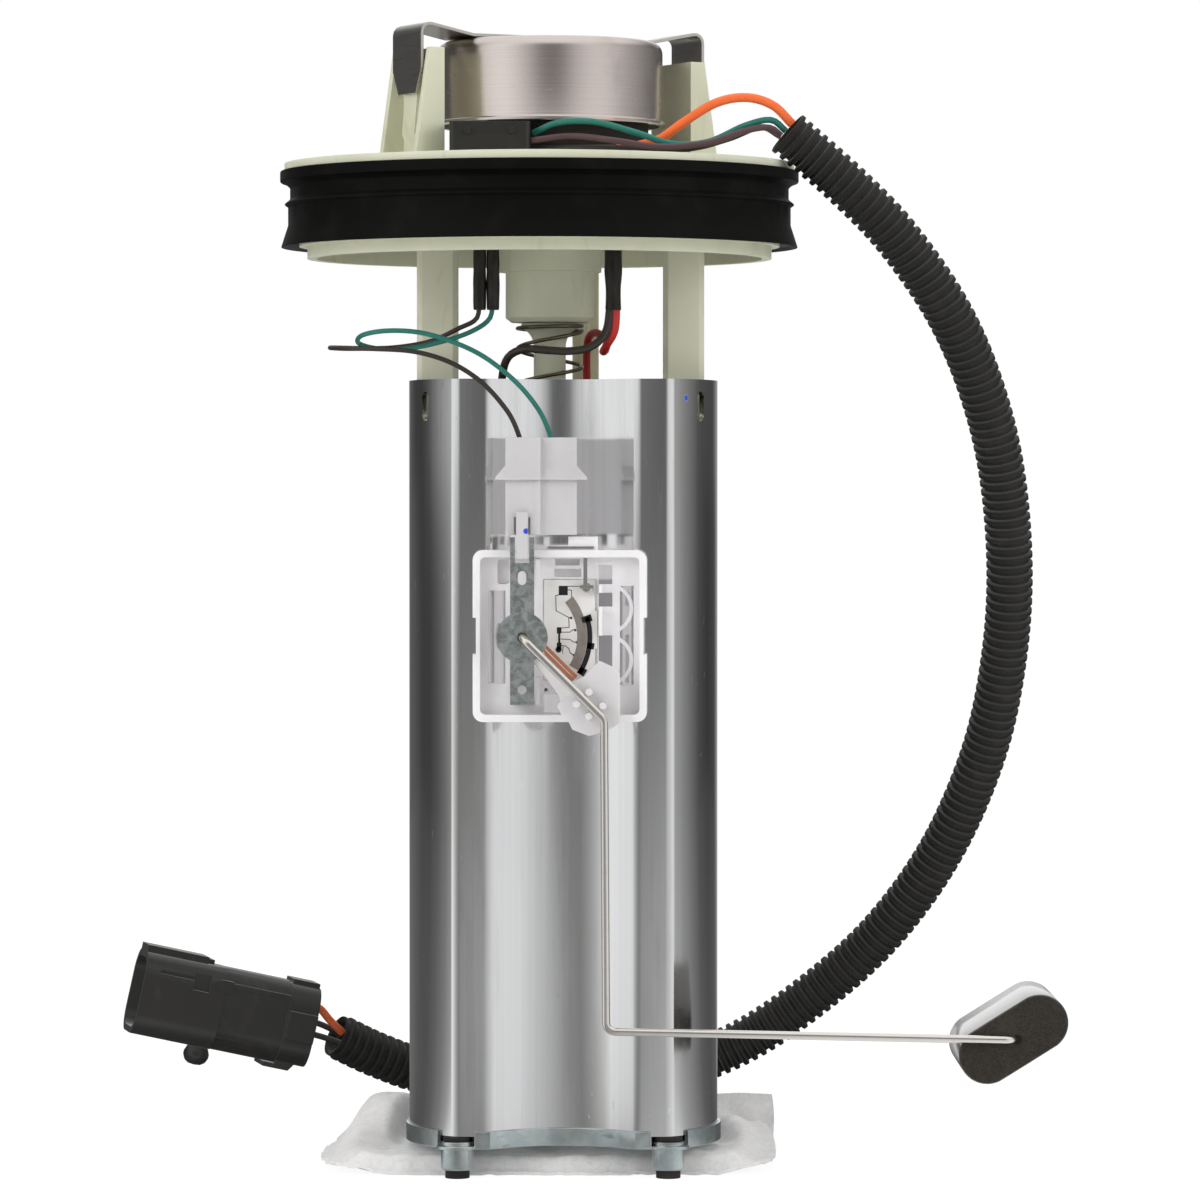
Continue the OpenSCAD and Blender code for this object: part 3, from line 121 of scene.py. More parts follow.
SENDER_GREEN = mm([
    (-17.4, -17, 216.6), (-18.4, -17, 212.6), (-23, -18, 209.5), (-30, -21.5, 207),
    (-38, -25.5, 205.2), (-45, -29.5, 205), (-50, -34.5, 206.2), (-49, -40.5, 208),
    (-43, -44, 209), (-35, -45, 208.6), (-27, -45, 206.4), (-19, -44.5, 202.6),
    (-11.2, -43, 196.4), (-5.8, -40, 189.8), (-3.2, -35.8, 184.2), (-2.9, -34.6, 182.2),
])
PUMP_BLACK = mm([
    (11.8, -14, 216.8), (10.7, -14.3, 209.8), (7.2, -15.8, 206), (2, -17, 204.8),
    (-4, -17, 205), (-9.5, -16, 205.3), (-13.6, -14, 203.4), (-15.2, -11, 198.5),
    (-15.5, -7, 190), (-15.3, 0, 165), (-14, 8, 125.2),
])
PUMP_RED = mm([
    (13.3, -14, 216.8), (12.9, -13.6, 210.2), (11, -12, 206.6), (10, -7, 205), (10.6, 0, 205.6),
    (10.8, 8, 208), (8.6, 15, 210.2), (6.5, 20.5, 209.4), (5.8, 24, 204.5), (6, 24, 190),
    (6.5, 18, 160), (7, 8, 125.2),
])
WIRE_ORANGE = mm([
    (12.5, -14, 254.4), (13.6, -17, 255), (18, -21.5, 255.4), (24, -23.8, 257), (30, -24, 261.2),
    (38, -23.5, 266), (45.5, -23, 267.3), (52, -22.5, 265.4), (56.8, -22, 260.8),
])
WIRE_GREEN = mm([
    (-7.3, -22, 258.6), (-1, -24.5, 261), (8, -27, 261), (18, -28.5, 258.3), (27, -28, 255.6),
    (36, -26.5, 256.2), (45, -24, 260.3), (51.5, -22.5, 261.8), (55.2, -22, 259.1),
])
WIRE_BROWN = mm([
    (-7.7, -24.5, 256.6), (2, -26, 257.6), (13, -30.5, 256.2), (24, -31.5, 254.6),
    (36, -29, 255.8), (45, -26, 258.9), (51, -24, 259.8), (54, -23.6, 257.8),
])
WIRE_BLACK = mm([
    (-7.7, -20.2, 254.8), (4, -24.5, 254.8), (17, -27, 254.6), (31, -25, 254.6),
    (41, -22, 257.2), (49, -20.4, 260.2), (54, -20.4, 257.8),
])
TAIL_ORANGE = mm([
    (-57.2, 36.4, 30.4), (-60.4, 35.2, 33.8), (-62.96, 34.6, 36.84), (-65.3, 34, 37.4),
])
TAIL_BLACK_A = mm([
    (-57.6, 38.8, 29.9), (-61.6, 37.6, 32), (-64.4, 37.3, 33.1), (-66.5, 36.8, 33.6),
])
TAIL_BLACK_B = mm([
    (-57.6, 35.9, 27.8), (-61.9, 34.9, 29.4), (-64.5, 34.2, 30.2), (-66.6, 33.8, 30.8),
])
ROD = mm([
    (-9.9, -33.4, 134), (-9.9, -40.4, 134), (10.2, -40.4, 114), (10.7, -40.4, 37.5),
    (110.7, -40.4, 35.4), (110.7, -24.8, 35.4),
])
# One rib of the conduit: how far along its pitch, and how deep below the crest
RIB = ((0.0, 0.42), (0.07, 0.0), (0.46, 0.0), (0.53, 0.42), (0.57, 1.0), (0.96, 1.0))
CORE = Vector((-3.5, 8, 0)) * MM
FLOAT = Vector((110.7, 0, 35.4)) * MM
PIVOT = Vector((-9.9, 0, 134)) * MM
FEET = mm([(x * 26.09, y * 26.09, 0) for x in (-1, 1) for y in (-1, 1)])

# What metal shows of the studio, as headings in degrees and brightness: 0 is towards the camera.
# The first ring lies below eye level, the second at it and the third above it.
LOW_RING = (
    (-180, 0.4), (-165, 0.12), (-146, 0.1), (-131, 0.055), (-118, 0.055), (-107, 0.1),
    (-97, 0.19), (-89, 0.36), (-82, 0.85), (-74, 1.0), (-60, 0.7), (-51, 0.53), (-38, 0.33),
    (-25, 0.2), (-14, 0.25), (0, 0.35), (10, 0.44), (22, 0.54), (34, 0.62), (47, 0.72),
    (60, 0.82), (76, 0.88), (84, 0.7), (92, 0.42), (101, 0.29), (111, 0.18), (122, 0.08),
    (136, 0.045), (155, 0.07), (165, 0.3), (180, 0.75),
)
LEVEL_RING = (
    (-180, 0.4), (-165, 0.12), (-146, 0.045), (-131, 0.05), (-118, 0.14), (-107, 0.34),
    (-97, 0.5), (-86, 0.7), (-74, 1.0), (-30, 0.95), (-20, 0.7), (-9, 0.22), (4, 0.1),
    (15, 0.13), (26, 0.5), (36, 0.86), (60, 0.98), (78, 0.95), (85, 0.7), (92, 0.42),
    (101, 0.29), (111, 0.18), (122, 0.08), (150, 0.07), (165, 0.3), (180, 0.75),
)
HIGH_RING = (
    (-180, 1.0), (-171, 0.95), (-162, 0.5), (-140, 0.1), (-113, 0.05), (-99, 0.11),
    (-86, 0.33), (-75, 0.75), (-65, 0.94), (-55, 1.0), (-45, 1.0), (-36, 0.86), (-27, 0.7),
    (-19, 0.53), (-10, 0.29), (-2, 0.2), (7, 0.2), (15, 0.28), (24, 0.52), (33, 0.66),
    (42, 0.77), (51, 0.8), (61, 0.8), (71, 0.69), (82, 0.53), (94, 0.43), (107, 0.33),
    (123, 0.24), (145, 0.1), (162, 0.4), (172, 0.95), (180, 1.0),
)


# Shaders


def operator(name, swapped=False):
    """A method that joins two amounts by a Math node, swapped for the right-hand form."""
    return lambda self, other: self.run(name, *((other, self) if swapped else (self, other)))


class Amount:
    """A socket of a finish, whose arithmetic adds Math nodes."""

    def __init__(self, finish, socket):
        self.finish = finish
        self.socket = socket

    def run(self, name, first, second=0.0, clamp=False):
        settings = {"operation": name, "use_clamp": clamp}
        return self.finish.node("ShaderNodeMath", settings, {0: first, 1: second})

    __add__, __radd__ = operator("ADD"), operator("ADD", True)
    __sub__, __rsub__ = operator("SUBTRACT"), operator("SUBTRACT", True)
    __mul__, __rmul__ = operator("MULTIPLY"), operator("MULTIPLY", True)
    __truediv__, __pow__ = operator("DIVIDE"), operator("POWER")

    def held(self):
        """The amount held between 0 and 1."""
        return self.run("ADD", self, clamp=True)


class Finish:
    """A material in the making. Every node comes from node()."""

    def __init__(self, name, tree=None):
        if tree is None:
            self.material = bpy.data.materials.new(name)
            self.material.use_nodes = True
            tree = self.material.node_tree
        self.tree = tree
        self.tree.nodes.clear()

    def node(self, kind, settings=None, inputs=None, output=0):
        made = self.tree.nodes.new(kind)
        for key, value in (settings or {}).items():
            setattr(made, key, value)
        for key, value in (inputs or {}).items():
            if isinstance(value, Amount):
                self.tree.links.new(value.socket, made.inputs[key])
            else:
                made.inputs[key].default_value = value
        return Amount(self, made.outputs[output]) if len(made.outputs) else made

    def outputs(self, kind, *names, inputs=None):
        """Several outputs of one node."""
        made = self.node(kind, inputs=inputs).socket.node
        return [Amount(self, made.outputs[name]) for name in names]

    def axes(self, where):
        return self.outputs("ShaderNodeSeparateXYZ", 0, 1, 2, inputs={0: where})

    def coordinates(self, kind="Object"):
        return self.node("ShaderNodeTexCoord", output=kind)

    def place(self, stretch=(1, 1, 1), shift=(0, 0, 0), turn=(0, 0, 0)):
        """Object coordinates, moved by shift, turned and stretched."""
        return self.node("ShaderNodeMapping", {"vector_type": "POINT"}, {
            "Vector": self.coordinates(), "Location": shift, "Rotation": turn, "Scale": stretch,
        })

    def noise(self, scale, detail=3.0, roughness=0.5, distortion=0.0, stretch=(1, 1, 1),
              where=None):
        return self.node("ShaderNodeTexNoise", inputs={
            "Vector": where or self.place(stretch), "Scale": scale, "Detail": detail,
            "Roughness": roughness, "Distortion": distortion,
        })

    def cells(self, scale, feature="F1", where=None):
        inputs = {"Vector": where or self.place(), "Scale": scale}
        return self.node("ShaderNodeTexVoronoi", {"feature": feature}, inputs, output="Distance")

    def step(self, value, low, high):
        """0 below low, 1 above high and smooth between them."""
        inputs = {"Value": value, "From Min": low, "From Max": high}
        return self.node("ShaderNodeMapRange", {"interpolation_type": "SMOOTHSTEP"}, inputs)

    def near(self, point, radius, edge=0.3):
        """1 inside the ball round the point, 0 outside it."""
        inputs = {0: self.coordinates(), 1: tuple(point)}
        far = self.node("ShaderNodeVectorMath", {"operation": "DISTANCE"}, inputs, output="Value")
        return 1.0 - self.step(far, radius * (1 - edge), radius * (1 + edge))

    def mix(self, first, second, amount):
        """Second over first by the amount, both colours."""
        first, second = (c if isinstance(c, Amount) else full(c) for c in (first, second))
        inputs = {0: amount, 6: first, 7: second}
        return self.node("ShaderNodeMix", {"data_type": "RGBA"}, inputs, output=2)

    def bump(self, height, strength, distance):
        inputs = {"Height": height, "Strength": strength, "Distance": distance}
        return self.node("ShaderNodeBump", inputs=inputs)

    def ring(self, x, y, stops):
        """The studio's brightness in the direction of x and y."""
        turn = self.node("ShaderNodeMath", {"operation": "ARCTAN2"}, {0: x, 1: 0.0 - y})
        shown = self.node("ShaderNodeValToRGB", inputs={0: turn / math.tau + 0.5})
        ramp = shown.socket.node.color_ramp
        while len(ramp.elements) < len(stops):
            ramp.elements.new(0.5)
        for element, (heading, value) in zip(ramp.elements, stops):
            element.position = heading / 360 + 0.5
            element.color = full((value, value, value))
        return shown

    def surface(self, **sockets):
        inputs = {key.replace("_", " "): value for key, value in sockets.items()}
        shader = self.node("ShaderNodeBsdfPrincipled", inputs=inputs)
        self.node("ShaderNodeOutputMaterial", inputs={"Surface": shader})
        return self.material


def darker(colour, share):
    return tuple(c * share for c in colour[:3])


def sizes():
    return bpy.context.scene.module_sizes


def chosen(colour):
    """A colour given as 0 to 255, or by the name of its choice in the panel."""
    if isinstance(colour, str):
        return tuple(getattr(bpy.context.scene.module_colours, colour))
    return tone(*colour)


def layered(name, noises, tints, rough, bump, cells=None, **sockets):
    """A material made of noises.

    tints is a colour and the layers over it, each (colour, share, noise, low, high). rough is
    a roughness, and bump a strength and a depth, each with the (share, noise, low, high) terms
    that add up to it. low and high are left out where the noise itself is meant.
    """
    f = Finish(name)
    made = {key: f.noise(*values) for key, values in noises.items()}
    made.update((key, f.cells(scale)) for key, scale in (cells or {}).items())

    def total(start, terms):
        for share, key, *limits in terms:
            value = f.step(made[key], *limits) if limits else made[key]
            start = start + value * share
        return start

    base = tints[0]
    for colour, *term in tints[1:]:
        base = f.mix(base, colour, total(0.0, [term]))
    return f.surface(
        Base_Color=base, Roughness=total(rough[0], rough[1:]),
        Normal=f.bump(total(0.0, bump[2:]), *bump[:2]), **sockets,
    )


def drawn_aluminium(name):
    """Bright drawn tube: faint lines along it, handling marks and one drop of blue ink."""
    f = Finish(name)
    lines = f.noise(1.0, 4.0, 0.6, stretch=(1100, 1100, 6))
    waves = f.noise(1.0, 2.0, stretch=(70, 70, 3))
    smears = f.step(f.noise(1.0, 4.0, 0.6, stretch=(120, 120, 14)), 0.5, 0.72)
    scratch = f.cells(1.0, "DISTANCE_TO_EDGE", f.place((1500, 1500, 28), turn=(0.05, 0.03, 0)))
    marks = f.step(f.noise(1.0, 2.0, stretch=(700, 700, 160)), 0.7, 0.75)
    marks = marks * f.step(f.noise(22, 4.0), 0.48, 0.6)
    ink = f.near(Vector((30.6, -23.9, 193)) * MM, 0.8 * MM)
    base = f.mix(tone(232, 232, 233), tone(214, 215, 216), lines)
    base = f.mix(base, tone(206, 204, 198), smears * 0.5)
    base = f.mix(base, tone(244, 244, 244), marks * 0.7)
    base = f.mix(base, tone(40, 80, 190), ink)
    roughness = 0.075 + lines * 0.05 + smears * 0.05 + (1.0 - f.step(scratch, 0.0, 0.02)) * 0.06
    return f.surface(
        Base_Color=base, Metallic=1.0 - ink, Roughness=roughness + marks * 0.25 + ink * 0.3,
        Normal=f.bump(lines * 0.6 + waves * 0.4, 0.05, 0.00005),
    )


def zinc_plating(name):
    """Bluish plating with cloudy patches and a trace of dirt in the folds."""
    return layered(
        name,
        {"clouds": (130, 5.0, 0.62, 0.4), "grain": (1400, 3.0),
         "dirt": (90, 4.0, 0.5, 0.0, (1, 1, 3))},
        (tone(176, 188, 190), (tone(204, 211, 209), 1.0, "clouds", 0.35, 0.65),
         (tone(120, 124, 116), 0.55, "dirt", 0.56, 0.68)),
        (0.17, (0.16, "clouds"), (0.2, "dirt", 0.56, 0.68)),
        (0.12, 0.0002, (0.3, "grain"), (1.0, "clouds")), Metallic=0.95,
    )


def brushed_stainless(name):
    """Brushed strap, with lines along it."""
    steel = tone(206, 203, 198)
    return layered(
        name, {"lines": (1.0, 5.0, 0.65, 0.0, (90, 90, 2600)), "clouds": (45, 3.0)},
        (darker(steel, 0.82), (steel, 1.0, "lines"),
         (darker(steel, 0.7), 0.4, "clouds", 0.58, 0.78)),
        (0.2, (0.2, "lines")), (0.09, 0.00008, (1.0, "lines")), Metallic=1.0,
    )


def turned_stainless(name):
    """The can's finish: turned lines round its axis, from the distance and the height."""
    f = Finish(name)
    x, y, z = f.axes(f.place(shift=tuple(-CORE)))
    reach = (x * x + y * y) ** 0.5
    where = f.node("ShaderNodeCombineXYZ", inputs={0: reach * 2600, 1: z * 2600, 2: 0.0})
    lines = f.noise(1.0, 4.0, 0.6, where=where)
    marks = f.step(f.noise(1.0, 3.0, stretch=(300, 300, 900)), 0.66, 0.74)
    base = f.mix(tone(206, 195, 190), tone(232, 222, 217), lines)
    base = f.mix(base, tone(150, 138, 120), f.step(f.noise(60, 4.0), 0.58, 0.8) * 0.3)
    return f.surface(
        Base_Color=base, Metallic=1.0, Roughness=0.17 + lines * 0.14 + marks * 0.1,
        Normal=f.bump(lines, 0.07, 0.00006),
    )


def mottled_galvanise(name):
    """Zinc-dipped sheet, whose crystals show as soft patches."""
    return layered(
        name, {"clouds": (420, 5.0, 0.68, 0.6), "broad": (60, 3.0)},
        (tone(136, 141, 140), (tone(180, 186, 184), 1.0, "clouds", 0.35, 0.66),
         (tone(108, 116, 116), 0.5, "broad", 0.5, 0.72),
         (tone(182, 190, 189), 0.3, "crystals", 0.55, 0.8)),
        (0.36, (0.22, "clouds")), (0.14, 0.00015, (1.0, "clouds")),
        cells={"crystals": 900}, Metallic=0.8,
    )


def plain_metal(name, colour, roughness, scale, marks, shine=1.0):
    colour = chosen(colour)
    return layered(
        name, {"clouds": (scale, 5.0, 0.6), "grain": (scale * 9, 2.0)},
        (colour, (darker(colour, 0.6), marks, "clouds", 0.5, 0.78)),
        (roughness, (0.14, "clouds")), (0.1, 0.00012, (0.4, "grain"), (1.0, "clouds")),
        Metallic=shine,
    )


def moulded(name, colour, roughness, marks, marks_tone=None, through=0.0, sheen=0.5, painted_glow=0.0,
            dot=None):
    """Moulded plastic: fine mould texture, cloudy tint, light dirt and a few flow marks.

    Thin white pieces get a painted glow: an emission on their rear faces that stands in for light
    shining through them.
    """
    f = Finish(name)
    colour = chosen(colour)
    fine, clouds = f.noise(1500, 3.0), f.noise(55, 4.0, 0.55)
    flow = f.noise(160, 3.0, 0.5, 1.2, (1, 1, 0.25))
    dirt = tone(*marks_tone) if marks_tone else darker(colour, 0.6)
    base = f.mix(colour, darker(colour, 0.88), f.step(clouds, 0.4, 0.7) * 0.5)
    base = f.mix(base, dirt, f.step(flow, 0.58, 0.74) * marks)
    if dot:
        base = f.mix(base, tone(30, 70, 200), f.near(Vector(dot) * MM, 0.7 * MM))
    sockets = {}
    # Painted glow: the rear faces give off their own colour, though no lamp is there.
    if painted_glow:
        rear = f.axes(f.coordinates("Normal"))[1]
        sockets["Emission_Color"] = f.mix((0, 0, 0), colour, f.step(rear, 0.2, 0.8) * painted_glow)
        sockets["Emission_Strength"] = 1.0
    if through:
        sockets["Subsurface_Weight"] = through
        sockets["Subsurface_Radius"] = (0.004, 0.0038, 0.003)
        sockets["Subsurface_Scale"] = 1.0
    return f.surface(
        Base_Color=base, Roughness=roughness + fine * 0.12 + clouds * 0.06,
        Specular_IOR_Level=sheen, Normal=f.bump(fine * 0.5 + flow * 0.5, 0.1, 0.00012),
        **sockets,
    )


def rubber_skin(name, colour, dust, roughness, sheen=0.3):
    """Moulded rubber with a grey bloom and a fine grain."""
    return layered(
        name, {"bloom": (85, 5.0, 0.6, 0.3), "fine": (1700, 3.0)},
        (chosen(colour), (tone(*dust), 0.55, "bloom", 0.48, 0.78)),
        (roughness, (0.16, "bloom")), (0.12, 0.0002, (0.5, "fine"), (1.0, "bloom")),
        Specular_IOR_Level=sheen,
    )


def closed_foam(name):
    """Dense foam: open cells on the cut ends, a smooth glossy skin round the sides, dust."""
    f = Finish(name)
    pits = f.step(f.cells(2100), 0.1, 0.5)
    large = f.cells(900)
    waves = f.noise(260, 3.0)
    along = f.axes(f.coordinates("Normal"))[1]
    cut = f.step(along * along, 0.4, 0.85)
    # The rod's hole is not cut in the block: a dark disc there is painted shade inside the hole.
    hole = FLOAT + Vector((0.0009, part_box("float")[0][1], 0))
    patches = pits * 0.7 + f.step(large, 0.5, 0.8) * 0.2
    base = f.mix(tone(24, 22, 19), tone(54, 49, 42), patches)
    base = f.mix(base, tone(72, 66, 56), f.step(f.noise(70, 4.0), 0.52, 0.72) * 0.3)
    base = f.mix(base, tone(14, 13, 12), f.near(hole, 0.0012))
    height = (pits + f.step(large, 0.2, 0.6) * 0.6) * cut * 3.0 + waves
    return f.surface(
        Base_Color=base, Roughness=0.12 + waves * 0.1 + cut * 0.75, Coat_Weight=1.0 - cut,
        Coat_Roughness=0.08, Normal=f.bump(height, 0.3, 0.0002),
    )


def pressed_felt(name):
    """Needled felt: matted fibres with no weave, soft clouds and small needle marks."""
    return layered(
        name,
        {"warp": (120, 3.0), "fibres": (420, 6.0, 0.72, 1.6), "fine": (1500, 4.0, 0.7, 0.8),
         "clouds": (55, 4.0)},
        (tone(232, 231, 230), (tone(208, 206, 204), 0.4, "fibres", 0.4, 0.64),
         (tone(192, 189, 186), 0.4, "clouds", 0.5, 0.74),
         (tone(172, 168, 164), 0.12, "pricks", 0.28, 0.1)),
        (0.95,),
        (0.4, 0.0004, (0.55, "fibres"), (0.3, "fine"), (0.4, "warp"), (0.15, "pricks", 0.1, 0.28)),
        cells={"pricks": 380}, Subsurface_Weight=0.2, Subsurface_Radius=(0.002, 0.002, 0.002),
        Subsurface_Scale=1.0, Sheen_Weight=0.3, Sheen_Roughness=0.5,
    )


def wire_skin(name, colour):
    """Drawn insulation, a little dull where it was handled."""
    colour = chosen(colour)
    paler = tuple(min(1.0, c * 1.25 + 0.01) for c in colour)
    return layered(
        name, {"clouds": (170, 4.0), "fine": (2200, 2.0)},
        (colour, (darker(colour, 0.62), 0.5, "clouds", 0.45, 0.72),
         (paler, 0.25, "clouds", 0.3, 0.42)),
        (0.34, (0.14, "clouds")), (0.08, 0.00012, (0.5, "fine"), (1.0, "clouds")),
    )


def conduit_plastic(name):
    """Black corrugated hose, dull and a little dusty."""
    return layered(
        name, {"clouds": (140, 5.0, 0.6), "fine": (1900, 3.0)},
        (chosen("conduit"), (tone(50, 48, 44), 0.5, "clouds", 0.5, 0.72)),
        (0.42, (0.2, "clouds")), (0.12, 0.00015, (0.6, "fine"), (0.6, "clouds")),
        Specular_IOR_Level=0.3,
    )


def shrink_sleeve(name):
    """Shrunk tubing, which shows the wires as slow lumps."""
    return layered(
        name, {"lumps": (420, 3.0, 0.5, 0.0, (1, 1, 0.4)), "fine": (1800, 2.0)},
        (tone(27, 25, 22), (tone(44, 41, 36), 1.0, "lumps", 0.45, 0.7)),
        (0.38, (0.1, "fine")), (0.5, 0.0005, (1.0, "lumps"), (0.1, "fine")),
        Specular_IOR_Level=0.35,
    )


def fired_ceramic(name):
    return layered(
        name, {"fine": (2600, 3.0), "clouds": (150, 3.0)},
        (tone(232, 230, 227), (tone(218, 216, 212), 1.0, "clouds", 0.4, 0.7)),
        (0.36, (0.12, "fine")), (0.06, 0.00005, (1.0, "fine")),
    )


def printed_ink(name, colour, roughness=0.5):
    """Fired thick-film ink with the mesh of its screen."""
    colour = tone(*colour)
    return layered(
        name, {"fine": (4200, 2.0), "clouds": (700, 3.0)},
        (colour, (darker(colour, 0.75), 0.6, "clouds", 0.4, 0.7)),
        (roughness, (0.15, "fine")), (0.15, 0.00004, (1.0, "fine")),
    )


def pleated_paper(name):
    return layered(
        name, {"fibres": (1.0, 4.0, 0.5, 0.0, (800, 800, 200))},
        (tone(222, 206, 160), (tone(196, 176, 126), 1.0, "fibres")),
        (0.9,), (0.3, 0.0002, (1.0, "fibres")),
    )


# Look: its material's name, the function that makes it and the function's values
FINISHES = {
    "tube": ("drawn_aluminium", drawn_aluminium),
    "zinc": ("zinc_plating", zinc_plating),
    "can": ("ring_stainless", turned_stainless),
    "strap": ("strap_stainless", brushed_stainless),
    "galvanise": ("mottled_galvanise", mottled_galvanise),
    "rod": ("rod_steel", plain_metal, (236, 232, 226), 0.12, 300, 0.2),
    "coil": ("oiled_coil", plain_metal, (136, 126, 112), 0.24, 260, 0.5),
    "case": ("case_steel", plain_metal, (196, 196, 192), 0.24, 120, 0.3),
    "solder": ("solder", plain_metal, (222, 220, 214), 0.16, 800, 0.25),
    "brass": ("brass", plain_metal, (214, 178, 104), 0.26, 200, 0.3),
    "copper": ("copper_strip", plain_metal, (208, 136, 102), 0.3, 400, 0.35, 0.5),
    "rotor": ("rotor_metal", plain_metal, (150, 108, 80), 0.38, 240, 0.5),
    "magnet": ("ferrite", plain_metal, (74, 74, 78), 0.5, 240, 0.4, 0.3),
    "carbon": ("carbon_block", plain_metal, (44, 44, 44), 0.55, 500, 0.4, 0.1),
    "acetal": ("natural_acetal", moulded, "flange", 0.36, 0.18, (166, 158, 128), 0.12),
    # The rear leg: a lighter, yellower copy of the leg plastic, painted as lit from behind.
    "aged": ("aged_acetal", moulded, (230, 226, 200), 0.38, 0.2, (180, 150, 96), 0.12),
    "leg": ("leg_acetal", moulded, (212, 212, 190), 0.36, 0.3, (168, 150, 118), 0.12),
    # The plug, the frame and the lever get a painted glow on their rear faces.
    "plug": ("white_plug", moulded, (201, 199, 200), 0.34, 0.08, None, 0.1, 0.5, 0.55,
             (-8.9, -38.6, 160.1)),
    "milky": ("milky_frame", moulded, "sender", 0.3, 0.1, None, 0.3, 0.5, 0.5),
    "lever": ("milky_lever", moulded, (213, 211, 212), 0.3, 0.06, None, 0.3, 0.5, 0.4),
    "black": ("black_plastic", moulded, "connector", 0.3, 0.3, (62, 59, 53), 0.0, 0.55),
    "grey": ("grey_plastic", moulded, (122, 124, 126), 0.42, 0.2),
    "seal": ("seal_rubber", rubber_skin, "seal", (26, 25, 23), 0.42, 0.07),
    "rubber": ("plain_rubber", rubber_skin, (34, 33, 32), (64, 61, 56), 0.55),
    "foam": ("closed_foam", closed_foam),
    "felt": ("pressed_felt", pressed_felt),
    "paper": ("pleated_paper", pleated_paper),
    "ceramic": ("fired_ceramic", fired_ceramic),
    "resistor": ("resistor_ink", printed_ink, (134, 126, 120)),
    "conductor": ("conductor_ink", printed_ink, (26, 26, 26)),
    "trace": ("trace_ink", printed_ink, (92, 90, 90), 0.4),
    "conduit": ("conduit_plastic", conduit_plastic),
    "sleeve": ("shrink_sleeve", shrink_sleeve),
    "wire_black": ("wire_black", wire_skin, (46, 41, 36)),
    "wire_brown": ("wire_brown", wire_skin, (74, 50, 54)),
    "wire_green": ("wire_green", wire_skin, "green_wire"),
    "wire_red": ("wire_red", wire_skin, "red_wire"),
    "wire_orange": ("wire_orange", wire_skin, "orange_wire"),
}


@functools.cache
def finish(look):
    name, make, *values = FINISHES[look]
    return make(name, *values)


# Shapes

# The angle in degrees over which an edge stays sharp, and the gap that is closed
SHARP = 32.0
JOIN = 0.000001


def soften(mesh, angle):
    """Shades the mesh smooth and leaves edges over the angle sharp."""
    mesh.shade_smooth()
    mesh.set_sharp_from_angle(angle=math.radians(angle))


def piece_of(mesh, name, angle=SHARP):
    mesh.name = name
    soften(mesh, angle)
    piece = bpy.data.objects.new(name, mesh)
    bpy.context.scene.collection.objects.link(piece)
    return piece


def piece_from(shape, name, angle=SHARP):
    mesh = bpy.data.meshes.new(name)
    shape.to_mesh(mesh)
    shape.free()
    return piece_of(mesh, name, angle)


def applied(piece, angle=SHARP):
    """Bakes the piece's modifiers into its mesh."""
    graph = bpy.context.evaluated_depsgraph_get()
    mesh = bpy.data.meshes.new_from_object(piece.evaluated_get(graph))
    piece.modifiers.clear()
    piece.data = mesh
    soften(mesh, angle)


def settle(piece, look, node, replace=True, ride=True):
    """Gives the piece its finish and its body, and lets it stand for the node."""
    piece.data.materials.clear()
    piece.data.materials.append(finish(look))
    if replace:
        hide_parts(node)
    if ride:
        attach(piece, NODES[node]["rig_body"])
    return piece


def dressed(node, look, width=0.0, segments=2):
    """A merged copy of a CAD node in its finish. A width of None rounds it as a moulded edge."""
    shape = bmesh.new()
    shape.from_mesh(NODES[node].data)
    bmesh.ops.remove_doubles(shape, verts=shape.verts, dist=4 * JOIN)
    bmesh.ops.dissolve_limit(
        shape, angle_limit=math.radians(0.3), verts=shape.verts, edges=shape.edges
    )
    piece = piece_from(shape, f"{node}_finished")
    if width != 0.0:
        edge = piece.modifiers.new("edges", "BEVEL")
        edge.width = sizes().edge_width if width is None else width
        edge.segments = segments
        edge.limit_method = "ANGLE"
        edge.angle_limit = math.radians(SHARP)
        edge.harden_normals = True
    return settle(piece, look, node)


def drawn_out(shape, made, vec):
    """Moves the vertices that an extrusion made."""
    verts = [g for g in made["geom"] if isinstance(g, bmesh.types.BMVert)]
    bmesh.ops.translate(shape, vec=vec, verts=verts)


def length_of(line):
    return sum((b - a).length for a, b in zip(line, line[1:]))


def along(line, wanted):
    """The points of the line at the wanted lengths from its start."""
    out, gone, i = [], 0.0, 0
    for want in wanted:
        while i < len(line) - 2 and gone + (line[i + 1] - line[i]).length < want:
            gone += (line[i + 1] - line[i]).length
            i += 1
        part = (line[i + 1] - line[i]).length
        out.append(line[i].lerp(line[i + 1], min(1.0, (want - gone) / part) if part else 0.0))
    return out


def smooth_route(points, spacing):
    """Points at even spacing on a smooth line through the given ones."""
    ends = [points[0] * 2 - points[1], *points, points[-1] * 2 - points[-2]]
    dense = []
    for a, b, c, d in zip(ends, ends[1:], ends[2:], ends[3:]):
        steps = max(4, int((c - b).length / (spacing * 0.25)))
        for i in range(steps):
            t = i / steps
            dense.append(
                b + (c - a) * (0.5 * t) + (a * 2 - b * 5 + c * 4 - d) * (0.5 * t * t)
                + (b * 3 - a - c * 3 + d) * (0.5 * t * t * t)
            )
    dense.append(points[-1])
    length = length_of(dense)
    count = max(3, round(length / spacing))
    return [*along(dense, [length * i / count for i in range(count)]), points[-1].copy()]


def bent_route(points, radius, steps):
    """The route with each corner turned into an arc."""
    route = [points[0]]
    for a, b, c in zip(points, points[1:], points[2:]):
        into, away = (a - b).normalized(), (c - b).normalized()
        half = into.angle(away) / 2
        centre = b + (into + away).normalized() * radius / math.sin(half)
        start = b + into * radius / math.tan(half) - centre
        axis = start.cross(b + away * radius / math.tan(half) - centre)
        for i in range(steps + 1):
            turn = Matrix.Rotation((math.pi - 2 * half) * i / steps, 3, axis)
            route.append(centre + turn @ start)
    return [*route, points[-1]]


